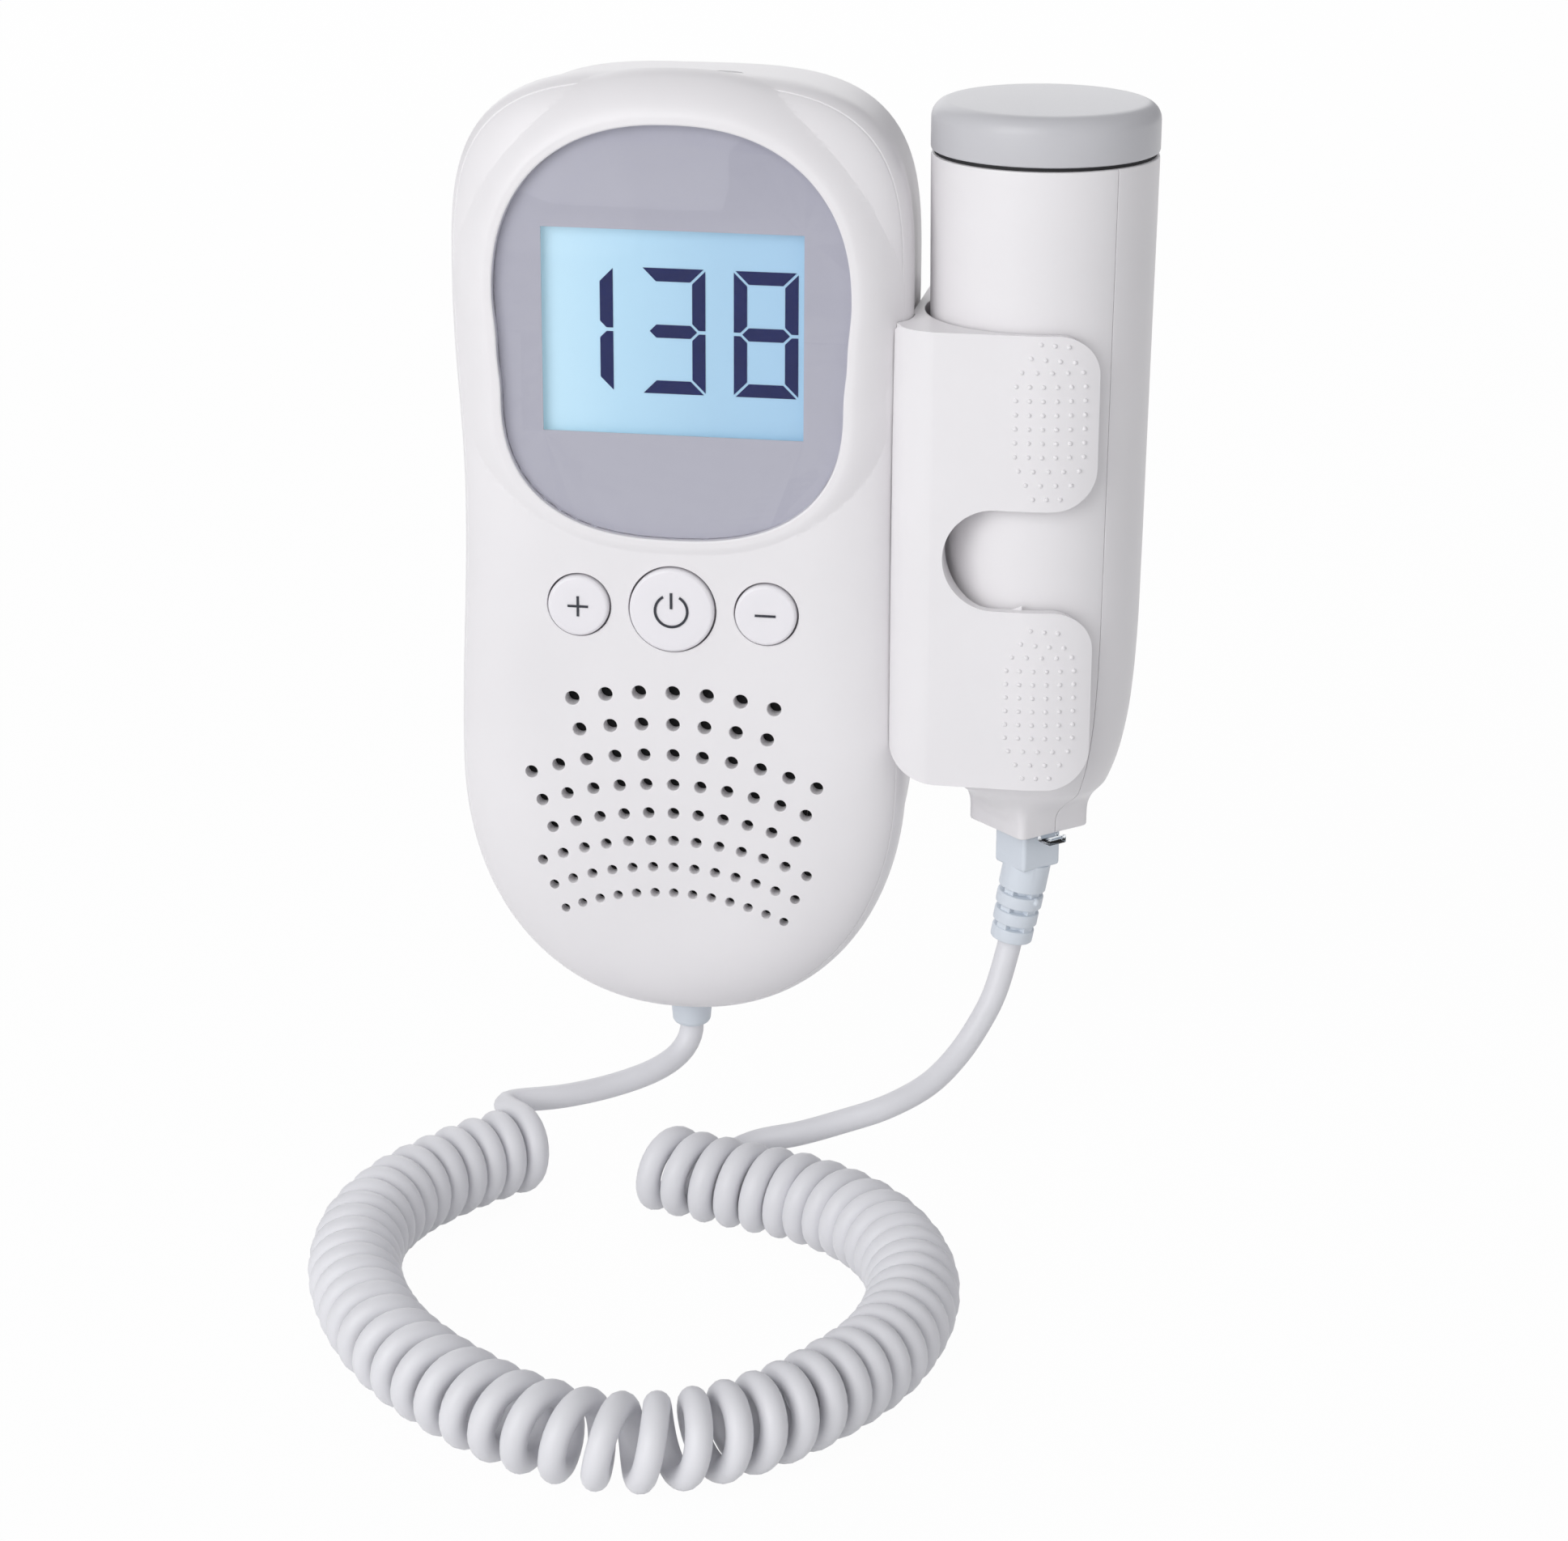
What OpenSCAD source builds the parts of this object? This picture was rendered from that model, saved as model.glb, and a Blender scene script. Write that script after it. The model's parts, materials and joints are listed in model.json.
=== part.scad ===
// Hand-held fetal doppler: case with display, keys and speaker, clip-on probe and curly cord.
// +Z is up, the front faces -Y. The origin is the middle of the flat seat on the case's back.

/* [Case] */
// Height of the case
case_h = 135; // [131:1:145]
// Width of the case across its upper bulge
case_top_w = 64; // [63:0.5:66]
// Width of the case at its waist
case_waist_w = 61.6; // [61:0.2:62.4]
// Width of the case across its lower bulge
case_low_w = 63.8; // [63:0.2:66]
// Depth of the case from front face to back seat
case_d = 33; // [32.8:0.1:36]
// Depth of the front shell, down to the parting line
front_d = 9; // [8.5:0.1:9.5]
// Wall of both shells
wall = 2; // [1.8:0.1:2.2]
// Height of the back seat above the middle of the case
seat_up = 34; // [32:1:36]

/* [Window and display] */
// Width of the window at its upper part
window_top_w = 49.2; // [48:0.2:50]
// Width of the window at its lower part
window_low_w = 47.2; // [46:0.2:48]
// Top edge of the window above the middle of the case
window_top = 61.5; // [60:0.5:62]
// Bottom edge of the window above the middle of the case
window_bottom = 4.6; // [4:0.2:6]
// Width of the raised lip round the window
lip_w = 1.5; // [1:0.1:1.8]
// Width of the visible display
view_w = 36.1; // [34:0.1:36.4]
// Height of the visible display
view_h = 28.2; // [26:0.1:28.6]
// Height of a figure on the display
digit_h = 17.3; // [14:0.1:18]
// Width of a figure on the display
digit_w = 8.8; // [7:0.1:9.2]

/* [Keys] */
// Radius of the power key
power_r = 5.95; // [5.5:0.05:6.2]
// Radius of the plus and minus keys
step_key_r = 4.3; // [4:0.05:4.5]
// Distance of the plus and minus keys from the power key
key_pitch = 13.2; // [12.6:0.1:13.6]
// Height of the keys above the middle of the case
key_z = -5.5; // [-6:0.1:-5]
// Travel of a key
key_travel = 0.8; // [0.6:0.05:0.9]

/* [Speaker] */
// Radius of the speaker frame
speaker_r = 18; // [16:0.5:18]
// Radius of the largest speaker hole
hole_big_r = 1; // [0.9:0.05:1.1]
// Radius of the smallest speaker hole
hole_small_r = 0.65; // [0.5:0.05:0.7]

/* [Probe] */
// Radius of the probe at its face cap
probe_r = 15.5; // [15:0.1:15.6]
// Length of the probe from collar to face
probe_len = 103.3; // [101:0.5:104]
// Height of the grey face cap
cap_h = 6.8; // [6:0.1:8]
// Side of the square collar
collar_side = 12.3; // [12:0.1:13]

/* [Probe holder] */
// Wall of the holder
holder_wall = 1.6; // [1.5:0.05:1.6]
// Top edge of the holder above the middle of the case
holder_top = 35.5; // [34:0.5:37]
// Bottom edge of the holder above the middle of the case
holder_bottom = -28.3; // [-29:0.1:-28]
// Height of the finger cut-out
finger_gap = 14.2; // [12:0.2:15]

/* [Cord] */
// Diameter of the cord
cord_d = 3.5; // [3.3:0.1:3.6]
// Outer diameter of a curl
curl_d = 12.8; // [12.4:0.1:13.2]
// Number of curls
curls = 54; // [50:1:55]

/* [Hidden] */

$fn = 64;
white = [0.9, 0.89, 0.91];
pale_grey = [0.76, 0.76, 0.78];
cord_grey = [0.8, 0.8, 0.82];
relief_grey = [0.8, 0.84, 0.87];
panel_grey = [0.72, 0.72, 0.76];
symbol_grey = [0.22, 0.23, 0.27];
board_green = [0.1, 0.35, 0.2];
metal = [0.75, 0.75, 0.76];
black = [0.08, 0.08, 0.09];

// Overrun of every cut, small gap between fixed pieces, gap between moving pieces
cut = 1;
seat_gap = 0.1;
run_gap = 0.3;

// Depth levels, with the back seat at zero and the front face at -case_d
front_y = -case_d;
part_y = front_y + front_d;
inner_y = front_y + wall;

// Outline of the case: spring heights of its round ends and the height of its waist
top_spring = 38;
waist_up = 8;
low_spring = -30;
top_power = 3.4;
low_power = 2.2;
outline_steps = 12;
side_steps = 5;
half_h = case_h / 2;
half_w = case_top_w / 2;

function ease(t) = (1 - cos(180 * t)) / 2;

// Right-hand side of a closed outline, from its bottom point to its top point
function egg_side(low, low_z, low_end, low_n, mid, mid_z, top, top_z, top_end, top_n, n, m) = concat(
    [for (i = [0:n]) let(a = 90 * i / n)
        [low * pow(sin(a), 2 / low_n), low_z - (low_z - low_end) * pow(cos(a), 2 / low_n)]],
    [for (i = [1:m]) let(z = low_z + (top_z - low_z) * i / (m + 1))
        [z < mid_z ? mid + (low - mid) * ease((mid_z - z) / (mid_z - low_z))
            : mid + (top - mid) * ease((z - mid_z) / (top_z - mid_z)), z]],
    [for (i = [0:n]) let(a = 90 * i / n)
        [top * pow(cos(a), 2 / top_n), top_z + (top_end - top_z) * pow(sin(a), 2 / top_n)]]);

// Closes a right-hand side with its mirror image
function whole(side) = concat(side,
    [for (i = [len(side) - 2:-1:1]) [-side[i][0], side[i][1]]]);

case_outline = whole(egg_side(case_low_w / 2, low_spring, -half_h, low_power, case_waist_w / 2,
    waist_up, case_top_w / 2, top_spring, half_h, top_power, outline_steps, side_steps));

// The case outline drawn in by d, at depth y
function case_ring(d, y) =
    [for (p = case_outline) [p[0] * (1 - d / half_w), y, p[1] * (1 - d / half_h)]];

// Profile of a rounded shoulder: inset and depth from the straight wall to the flat face
function shoulder(d_start, w, y_start, y_end, n, steps) = [for (i = [0:steps]) let(a = 90 * i / steps)
    [d_start + w * (1 - pow(cos(a), 2 / n)), y_start + (y_end - y_start) * pow(sin(a), 2 / n)]];

function reversed(list) = [for (i = [len(list) - 1:-1:0]) list[i]];

// Skin over a stack of rings with the same number of points, closed by its first and last rings
module ring_skin(rings, flip = false) {
    n = len(rings[0]);
    last = (len(rings) - 1) * n;
    first_cap = [[for (i = [0:n - 1]) i]];
    last_cap = [[for (i = [n - 1:-1:0]) last + i]];
    sides = [for (r = [0:len(rings) - 2]) for (i = [0:n - 1])
        let(a = r * n + i, b = r * n + (i + 1) % n)
        each [[a, a + n, b + n], [a, b + n, b]]];
    faces = concat(first_cap, last_cap, sides);
    polyhedron(points = [for (r = rings) each r],
        faces = flip ? [for (f = faces) reversed(f)] : faces);
}

// Moves a piece from the middle of the case, where it is drawn, to the back seat
module seated() {
    translate([0, 0, -seat_up]) children();
}

// Plate between two depths, drawn from its outline in X and Z
module slab(y_back, y_front) {
    translate([0, y_back, 0]) rotate([90, 0, 0]) linear_extrude(y_back - y_front) children();
}

// Round bar along Y between two depths
module bar_y(x, z, y_back, y_front, r, r_front = -1) {
    translate([x, y_back, z]) rotate([90, 0, 0])
        cylinder(h = y_back - y_front, r1 = r, r2 = r_front < 0 ? r : r_front);
}

// Box given by its corners
module block(low, high) {
    translate(low) cube(high - low);
}

// Profile of [radius, depth] points turned about an axis along Y
module turn_y(x, z, profile) {
    translate([x, 0, z]) rotate([90, 0, 0]) rotate_extrude() polygon([for (p = profile) [p[0], -p[1]]]);
}

// Rectangle with round corners, centred
corner_steps = 5;
function round_rect(w, h, r) = [for (c = [[1, 1, 0], [-1, 1, 90], [-1, -1, 180], [1, -1, 270]])
    for (i = [0:corner_steps]) let(a = c[2] + 90 * i / corner_steps)
        [c[0] * (w / 2 - r) + r * cos(a), c[1] * (h / 2 - r) + r * sin(a)]];

// Front shell: shoulder, window pad and pocket, lip
front_round_w = 14;
front_round_d = 8;
front_power = 2.4;
shoulder_steps = 8;
window_spring_top = 38;
window_spring_low = 24;
window_top_power = 2.3;
window_low_power = 2.5;
window_sink = 1.6;
window_pad = 3;
lip_h = 0.4;
pad_y = front_y + window_pad;
view_z = 33.1;
view_open = 1.9;

function window_outline(grow) = whole(egg_side(window_low_w / 2 + grow, window_spring_low,
    window_bottom - grow, window_low_power, (window_low_w + window_top_w) / 4 + grow,
    (window_spring_low + window_spring_top) / 2, window_top_w / 2 + grow, window_spring_top,
    window_top + grow, window_top_power, outline_steps, 1));

// Key holes and the flange that keeps each key behind the wall
key_clear = 0.25;
key_proud = 0.8;
flange_w = 0.9;
flange_t = 0.8;
key_round = 0.5;
stem_r = 1.5;

// Speaker holes: rows on arcs about one centre below, drawn closer and smaller downwards
speaker_z = -33;
fan_z = -85.9;
fan_r = 68.2;
fan_step = 4.05;
row_pitch = 4.65;
row_shrink = 0.13;
row_counts = [7, 7, 11, 11, 11, 13, 13, 13];
hole_fn = 20;

// Screws that hold the two shells, with bosses and pillars
boss_r = 3;
screw_r = 1.25;
screw_clear = 0.2;
screw_head_r = 2.4;
screw_head_h = 1.8;
screw_sink = 10;
screw_len = 18;
boss_hole = 4.5;
case_screw_x = [20, 22.5];
case_screw_in = [11.5, 25.5];
case_screw_places = [for (side = [-1, 1]) each [[side * case_screw_x[0], half_h - case_screw_in[0]],
    [side * case_screw_x[1], case_screw_in[1] - half_h]]];

// Display stack behind the window
mask_t = 0.25;
lens_t = 1.4;
glass_t = 2;
backlight_t = 2.2;
frame_wall = 1.6;
glass_margin = 3;
glass_w = view_w + 2 * glass_margin;
glass_h = view_h + 2 * glass_margin;
glass_back_y = pad_y + glass_t;
backlight_back_y = glass_back_y + backlight_t;
board_front_y = backlight_back_y + seat_gap;
board_t = 1.6;
board_back_y = board_front_y + board_t;
segment_t = 1.8;
segment_gap = 0.25;
segment_h = 0.1;
digit_pitch = 12.7;
digit_margin = 1.1;
digits_right = view_w / 2 - digit_margin;

// Main board, its posts and its screws
board_rim = 0.35;
board_half_w = glass_w / 2 + frame_wall + board_rim;
board_low = -12.5;
board_high = 61;
board_corner = 10;
post_r = 2.2;
post_places = [[-12, 57.5], [12, 57.5], [-20.5, 3.5], [20.5, 3.5]];
board_screw_r = 0.8;
board_screw_head_r = 1.6;
board_screw_head_h = 1;
board_screw_len = 4;
switch_side = 6;
switch_body = 1.6;
plunger_r = 1.6;
plunger_h = 0.5;

// Speaker depths
cloth_t = 0.3;
cloth_r = 18.8;
speaker_gap = 0.6;
speaker_front_y = inner_y + speaker_gap;
rim_t = 1;
rim_w = 2.2;
basket_r = 12.5;
basket_d = 6;
basket_wall = 0.8;
dome_r = 5;
magnet_r = 11;
magnet_t = 4.2;

// Rear shell: step at the parting line, draft, rounded back
rear_step = 0.5;
rear_draft = 1.2;
rear_round_w = 8;
rear_round_d = 10;
rear_power = 2.2;

// Battery bay, door and what they hold
cell_r = 7.25;
cell_len = 50.5;
nub_r = 2.75;
nub_h = 1;
cell_pitch = 15.2;
bay_half_w = 15.6;
bay_wall = 1.2;
bay_low = -45.2;
bay_high = 9.8;
door_ledge = 2.1;
door_gap = 0.3;
door_t = 1.5;
door_half_w = 17.3;
door_low = -46.8;
door_high = 11.4;
door_round = 1.5;
door_axis_y = -1.05;
door_pin_r = 0.55;
door_pin_len = 1.1;
door_pin_clear = 0.15;
notch_r = 5;
notch_d = 1;
cell_axis_y = -9.45;
bay_front_y = cell_axis_y - cell_r - run_gap;
spring_r = 3.2;
spring_tip_r = 1.6;
contact_t = 0.4;
contact_half_w = 6.4;

// Headphone socket in the top wall, at the parting line
socket_x = 5;
socket_set_back = 3.2;
socket_y = part_y + socket_set_back;
socket_r = 1.8;
socket_depth = 13;
socket_outer = 3;
socket_collar_r = 2.6;

// Probe axis and profile, as shares of its length from the face and of its radius
probe_x = 48.6;
probe_set_back = 15.5;
probe_y = front_y + probe_set_back;
probe_face_z = 64.3;
probe_low_z = probe_face_z - probe_len;
cap_low_z = probe_face_z - cap_h;
probe_wall = 1.8;
seam_turn = -45;
seam_gap = 0.02;
probe_draft_shares = [[0, 1], [0.066, 0.997], [0.274, 0.981], [0.45, 0.968], [0.622, 0.955], [0.72, 0.942],
    [0.787, 0.916], [0.826, 0.89], [0.86, 0.852], [0.893, 0.8], [0.929, 0.71], [0.961, 0.594], [1, 0.5]];
collar_h = 3.5;
collar_round = 0.9;
blend_up = 12.5;
blend_low_up = 4;
blend_z = probe_low_z + blend_up;
blend_low_z = probe_low_z + blend_low_up;
blend_fn = 32;
slice = 0.05;
cap_round = 2;
cap_face_t = 1.5;
seal_h = 0.5;
seal_in = 0.5;
cavity_up = 16;
cavity_low_z = probe_low_z + cavity_up;
crystal_r = 12.4;
crystal_gap = 1.2;
crystal_t = 1.8;
backing_t = 4;
probe_board_w = 18;
probe_board_t = 1.2;
crystal_top_z = probe_face_z - cap_face_t;
crystal_low_z = crystal_top_z - crystal_t;
backing_low_z = crystal_low_z - backing_t;

// Plug, socket and latch, drawn on the probe axis with the latch towards +X before the turn
socket_half = 5.25;
socket_up = 1.5;
socket_top_up = 18;
socket_low_z = probe_low_z + socket_up;
socket_top_z = probe_low_z + socket_top_up;
port_half = 4.2;
port_reach = 5.4;
plug_half = 3.1;
plug_clear = 0.15;
plug_in = 14.6;
plug_top_z = probe_low_z + plug_in;
relief_gap = 0.9;
relief_top_z = probe_low_z - relief_gap;
relief_side = 6.7;
relief_corner = 0.6;
relief_block_h = 5.4;
relief_lean = 10;
neck_r = 3.4;
neck_h = 3.7;
neck_sink = 0.6;
relief_r = 3.35;
relief_taper = 0.15;
relief_web_d = 2.6;
relief_rib_h = 1.9;
relief_slot_h = 0.8;
relief_core_r = 1.9;
relief_web_w = 1.7;
relief_web_turn = 20;
relief_ribs = 3;
relief_root = [probe_x, probe_y, relief_top_z - relief_block_h];
relief_dir = [-sin(relief_lean), 0, -cos(relief_lean)];
relief_len = neck_h + relief_ribs * (relief_rib_h + relief_slot_h);
relief_end = relief_root + relief_len * relief_dir - [0, 0, seat_up];
latch_t = 0.5;
latch_w = 3;
latch_root_up = 12;
latch_root_z = probe_low_z + latch_root_up;
latch_foot_drop = 0.6;
latch_foot_z = relief_top_z - latch_foot_drop;
latch_root_d = plug_half + run_gap;
latch_lean = 1.05;
latch_reach = 6.8;
latch_hook = 1.1;
latch_slot = 4.85;
contact_count = 4;
contact_pitch = 1.1;
plug_contact_w = 0.5;
contact_len = 4;
contact_deep = 1;

// Holder round the probe
holder_clear = 0.3;
holder_bore_r = probe_r + holder_clear;
holder_r = holder_bore_r + holder_wall;
holder_overlap = 1;
holder_left = case_waist_w / 2 - holder_overlap;
holder_corner = 7;
holder_foot = 5;
holder_shoulder = 2;
holder_right = 9.6;
back_reach = 3.5;
holder_lip_h = 1.8;
finger_mid_z = 4.3;
finger_left = 37.7;
finger_round = 5.6;
holder_fit = 0.15;
holder_screw_places = [-18, 24];
holder_screw_y = -8.5;
holder_screw_r = 1;
holder_boss = 4.5;
holder_pad = 4.5;

// Cord gland under the case, and the clamp that holds its cord inside
gland_set_back = 13;
gland_y = front_y + gland_set_back;
gland_r = 3.2;
gland_tip_r = 2.8;
gland_len = 5.6;
gland_round = 1;
gland_neck_r = 2.3;
gland_neck_clear = 0.1;
gland_flange_r = 3.6;
gland_flange_h = 1.4;
gland_inset = 0.5;
gland_top_z = gland_inset - half_h;
gland_tip_z = gland_top_z - gland_len;
gland_neck_len = 2.6;
flange_low_z = gland_top_z + gland_neck_len;
clamp_half = [5, 2, 1.5];

// Curly cord: turns of one tube about a route over the floor, and its two straight leads
curl_r = (curl_d - cord_d) / 2;
curl_rings = 8;
curl_sides = 6;
lead_sides = 8;
lead_straight = 1.5;

// Share of the coil's axis used up by each share of its curls
coil_spread_shares = [[0, 0], [0.3, 0.285], [0.44, 0.44], [0.52, 0.535], [0.6, 0.62], [1, 1]];

// Points of the coil's axis and of the leads between their ends, from the back seat
coil_route = [[-20.5, -41, -119], [-25, -46, -119], [-29.5, -52.5, -119], [-33.5, -60.5, -119],
    [-35.5, -70.5, -119], [-34.5, -81, -119], [-31, -91, -119], [-24.5, -102, -119],
    [-15.5, -111.5, -119], [-5, -119, -119], [4.5, -122.8, -119], [13, -123.3, -119],
    [21, -120, -119], [28.5, -113.5, -119], [34.5, -105, -119], [39, -95.5, -119],
    [41, -85, -119], [40.5, -74.5, -119], [37, -65, -119], [31, -57, -119],
    [23, -51.5, -119], [14, -48.5, -119], [6, -46.3, -119], [0, -44, -119]];
gland_route = [[-0.8, -20.8, -110.2], [-2.4, -22.4, -111.8], [-5, -24.6, -113], [-8.6, -27, -113.9],
    [-12.8, -29.6, -114.5], [-17.5, -32.4, -114.7], [-22.2, -34.6, -114.6], [-24, -35.9, -114.5]];
plug_route = [[44.7, -19.5, -98.8], [42.6, -21, -103.4], [39.8, -23.5, -107.6], [36, -27, -111],
    [30.5, -30.5, -113.4], [24.5, -32.5, -115.2], [18.5, -35, -116.5], [12.5, -36, -117.8],
    [7.5, -36.3, -120.5], [3.6, -37.8, -122.9]];

// Chips on the back of the board: middle X and Z, width, height
chip_places = [[-10, 30, 12, 12], [8, 34, 7, 5], [8, 22, 5, 7], [-6, 16, 6, 4], [10, 46, 4, 3]];
chip_t = 1.2;
header_place = [-15, 16];
header_size = [8, 3.4];

// Symbols on the keys
plunger_y = board_front_y - switch_body - plunger_h;
mark_h = 0.1;
mark_line = 0.33;
mark_len = 2.9;
power_mark_r = 2.45;
power_mark_line = 0.35;
power_mark_open = 30;
power_bar_low = 0.3;
power_bar_high = 2.6;

// Tube along centre points: rings of n sides, square to the path, turned by the reference direction
function unit(v) = v / norm(v);
function spline(p, per) = let(q = concat([2 * p[0] - p[1]], p, [2 * p[len(p) - 1] - p[len(p) - 2]]))
    concat([for (i = [1:len(q) - 3]) for (k = [0:per - 1]) let(t = k / per)
        (2 * q[i] + (q[i + 1] - q[i - 1]) * t
            + (2 * q[i - 1] - 5 * q[i] + 4 * q[i + 1] - q[i + 2]) * t * t
            + (3 * q[i] - q[i - 1] - 3 * q[i + 1] + q[i + 2]) * t * t * t) / 2],
        [p[len(p) - 1]]);
function path_dir(c, i) = unit(c[min(i + 1, len(c) - 1)] - c[max(i - 1, 0)]);
function tube_ring(c, dir, ref, r, n) = let(u = unit(ref - (ref * dir) * dir), v = cross(dir, u))
    [for (k = [0:n - 1]) c + r * (cos(360 * k / n) * u + sin(360 * k / n) * v)];

// Leads: smooth tubes along their routes
lead_turn = [1, 0, -1];
lead_steps = 2;
function lead_rings(route, first_dir, last_dir) = let(c = spline(route, lead_steps), last = len(c) - 1)
    [for (i = [0:last]) tube_ring(c[i], i == 0 ? first_dir : i == last ? last_dir : path_dir(c, i),
        lead_turn, cord_d / 2, lead_sides)];

// Coil: axis curve, its running length, and the centre line wound round it
coil_axis = spline(coil_route, curl_rings);
coil_run = [for (i = 0, s = 0; i < len(coil_axis);
    s = s + (i + 1 < len(coil_axis) ? norm(coil_axis[i + 1] - coil_axis[i]) : 0), i = i + 1) s];
coil_len = coil_run[len(coil_run) - 1];
axis_x = [for (i = [0:len(coil_axis) - 1]) [coil_run[i], coil_axis[i][0]]];
axis_y = [for (i = [0:len(coil_axis) - 1]) [coil_run[i], coil_axis[i][1]]];
function axis_at(s) = [lookup(s, axis_x), lookup(s, axis_y), coil_route[0][2]];
axis_probe = 0.5;
function axis_dir(s) = unit(axis_at(min(s + axis_probe, coil_len)) - axis_at(max(s - axis_probe, 0)));
function axis_out(s) = cross(axis_dir(s), [0, 0, 1]);
coil_count = (curls + 0.5) * curl_rings;
coil_turn_start = 90;
function coil_s(i) = coil_len * lookup(i / coil_count, coil_spread_shares);
function coil_angle(i) = coil_turn_start + 360 * i / curl_rings;
function coil_radial(i) = let(s = coil_s(i), a = coil_angle(i)) cos(a) * axis_out(s) + sin(a) * [0, 0, 1];
coil_line = [for (i = [0:coil_count]) axis_at(coil_s(i)) + curl_r * coil_radial(i)];

// The ends run straight for one diameter, square to the axis
coil_start = coil_line[0] + cord_d * axis_out(0);
coil_end = coil_line[coil_count] + cord_d * axis_out(coil_len);
coil_centres = concat([coil_start], coil_line, [coil_end]);
function coil_ref(i) = i == 0 ? coil_radial(0) : i > coil_count ? coil_radial(coil_count) : coil_radial(i - 1);
coil_dirs = [for (i = [0:len(coil_centres) - 1])
    i == 0 ? -axis_out(0) : i > coil_count + 1 ? axis_out(coil_len) : path_dir(coil_centres, i)];
coil_rings_all = [for (i = [0:len(coil_centres) - 1])
    tube_ring(coil_centres[i], coil_dirs[i], coil_ref(i), cord_d / 2, curl_sides)];

// Free stretches of the cord, from the gland to the coil and from the plug to the coil
gland_lead = concat([[0, gland_y, gland_tip_z - seat_up],
    [0, gland_y, gland_tip_z - seat_up - lead_straight]],
    gland_route, [coil_start + lead_straight * axis_out(0), coil_start]);
plug_lead = concat([relief_end + seam_gap * relief_dir, relief_end + lead_straight * relief_dir],
    plug_route,
    [coil_end + lead_straight * axis_out(coil_len), coil_end]);

// Least gap of the coil to itself, measured from its corners to the faces' middles one turn on
gap_near = 2;
coil_gap = min([for (i = [curl_rings:len(coil_rings_all) - 2])
    for (j = [i - curl_rings - gap_near:i - curl_rings + gap_near])
        if (j >= 0) for (k = [0:curl_sides - 1]) for (m = [0:curl_sides - 1])
            min(norm(coil_rings_all[i][k] - coil_rings_all[j][m]),
                norm(coil_rings_all[i][k] - (coil_rings_all[j][m]
                    + coil_rings_all[j][(m + 1) % curl_sides]) / 2),
                norm((coil_rings_all[i][k] + coil_rings_all[i][(k + 1) % curl_sides]) / 2
                    - (coil_rings_all[j][m] + coil_rings_all[j][(m + 1) % curl_sides]) / 2))]);
echo(coil_gap = coil_gap, coil_tube_length = sum_len(coil_centres), coil_start = coil_start,
    coil_end = coil_end);
function sum_len(c) = [for (i = 0, s = 0; i < len(c);
    s = s + (i + 1 < len(c) ? norm(c[i + 1] - c[i]) : 0), i = i + 1) if (i == len(c) - 1) s][0];

// Colour and form of each sub-part
module shell_bowl(rings_out, rings_in, flip) {
    difference() {
        ring_skin(rings_out, flip);
        difference() {
            ring_skin(rings_in, flip);
            children();
        }
    }
}

front_out = concat(reversed([for (p = shoulder(0, front_round_w, front_y + front_round_d, front_y,
    front_power, shoulder_steps)) case_ring(p[0], p[1])]), [case_ring(0, part_y)]);
front_in = concat(reversed([for (p = shoulder(wall, front_round_w - wall, front_y + front_round_d,
    inner_y, front_power, shoulder_steps)) case_ring(p[0], p[1])]), [case_ring(wall, part_y + cut)]);
rear_out = concat(reversed([for (p = shoulder(rear_draft, rear_round_w, -rear_round_d, 0,
    rear_power, shoulder_steps)) case_ring(p[0], p[1])]), [case_ring(rear_step, part_y)]);
rear_in = concat(reversed([for (p = shoulder(rear_draft + wall, rear_round_w - wall / 2, -rear_round_d,
    -wall, rear_power, shoulder_steps)) case_ring(p[0], p[1])]),
    [case_ring(rear_step + wall, part_y - cut)]);

module front_shell() {
    color(white) seated() difference() {
        union() {
            shell_bowl(front_out, front_in, true) {
                slab(pad_y, front_y) polygon(window_outline(lip_w));
                for (p = case_screw_places) bar_y(p[0], p[1], part_y, front_y, boss_r);
                for (p = post_places) bar_y(p[0], p[1], board_front_y, front_y, post_r);
            }
            slab(inner_y, front_y - lip_h) polygon(window_outline(lip_w));
        }
        slab(front_y + window_sink, front_y - lip_h - cut) polygon(window_outline(seat_gap));
        slab(pad_y + cut, front_y) translate([0, view_z])
            square([view_w + view_open, view_h + view_open], center = true);
        key_hole(0, power_r);
        for (side = [-1, 1]) key_hole(side * key_pitch, step_key_r);
        speaker_holes();
        for (p = case_screw_places)
            bar_y(p[0], p[1], part_y + cut, part_y - boss_hole, screw_r + seat_gap / 2);
        for (p = post_places)
            bar_y(p[0], p[1], board_front_y + cut, board_front_y - board_screw_len,
                board_screw_r + seat_gap / 2);
    }
}

module key_hole(x, r) {
    bar_y(x, key_z, inner_y + cut, front_y - cut, r + key_clear);
}

// Radius of row k, and of the holes in it
function row_r(k) = fan_r - row_pitch * k + row_shrink * k * (k - 1) / 2;
function hole_r(k) = hole_big_r + (hole_small_r - hole_big_r) * k / (len(row_counts) - 1);

module speaker_holes() {
    for (k = [0:len(row_counts) - 1])
        for (i = [0:row_counts[k] - 1])
            let(a = fan_step * (i - (row_counts[k] - 1) / 2))
                translate([row_r(k) * sin(a), inner_y + cut, fan_z + row_r(k) * cos(a)])
                    rotate([90, 0, 0]) cylinder(h = wall + 2 * cut, r = hole_r(k), $fn = hole_fn);
}

// Bore along X
module bar_x(x0, x1, y, z, r) {
    translate([x0, y, z]) rotate([0, 90, 0]) cylinder(h = x1 - x0, r = r);
}

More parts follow.
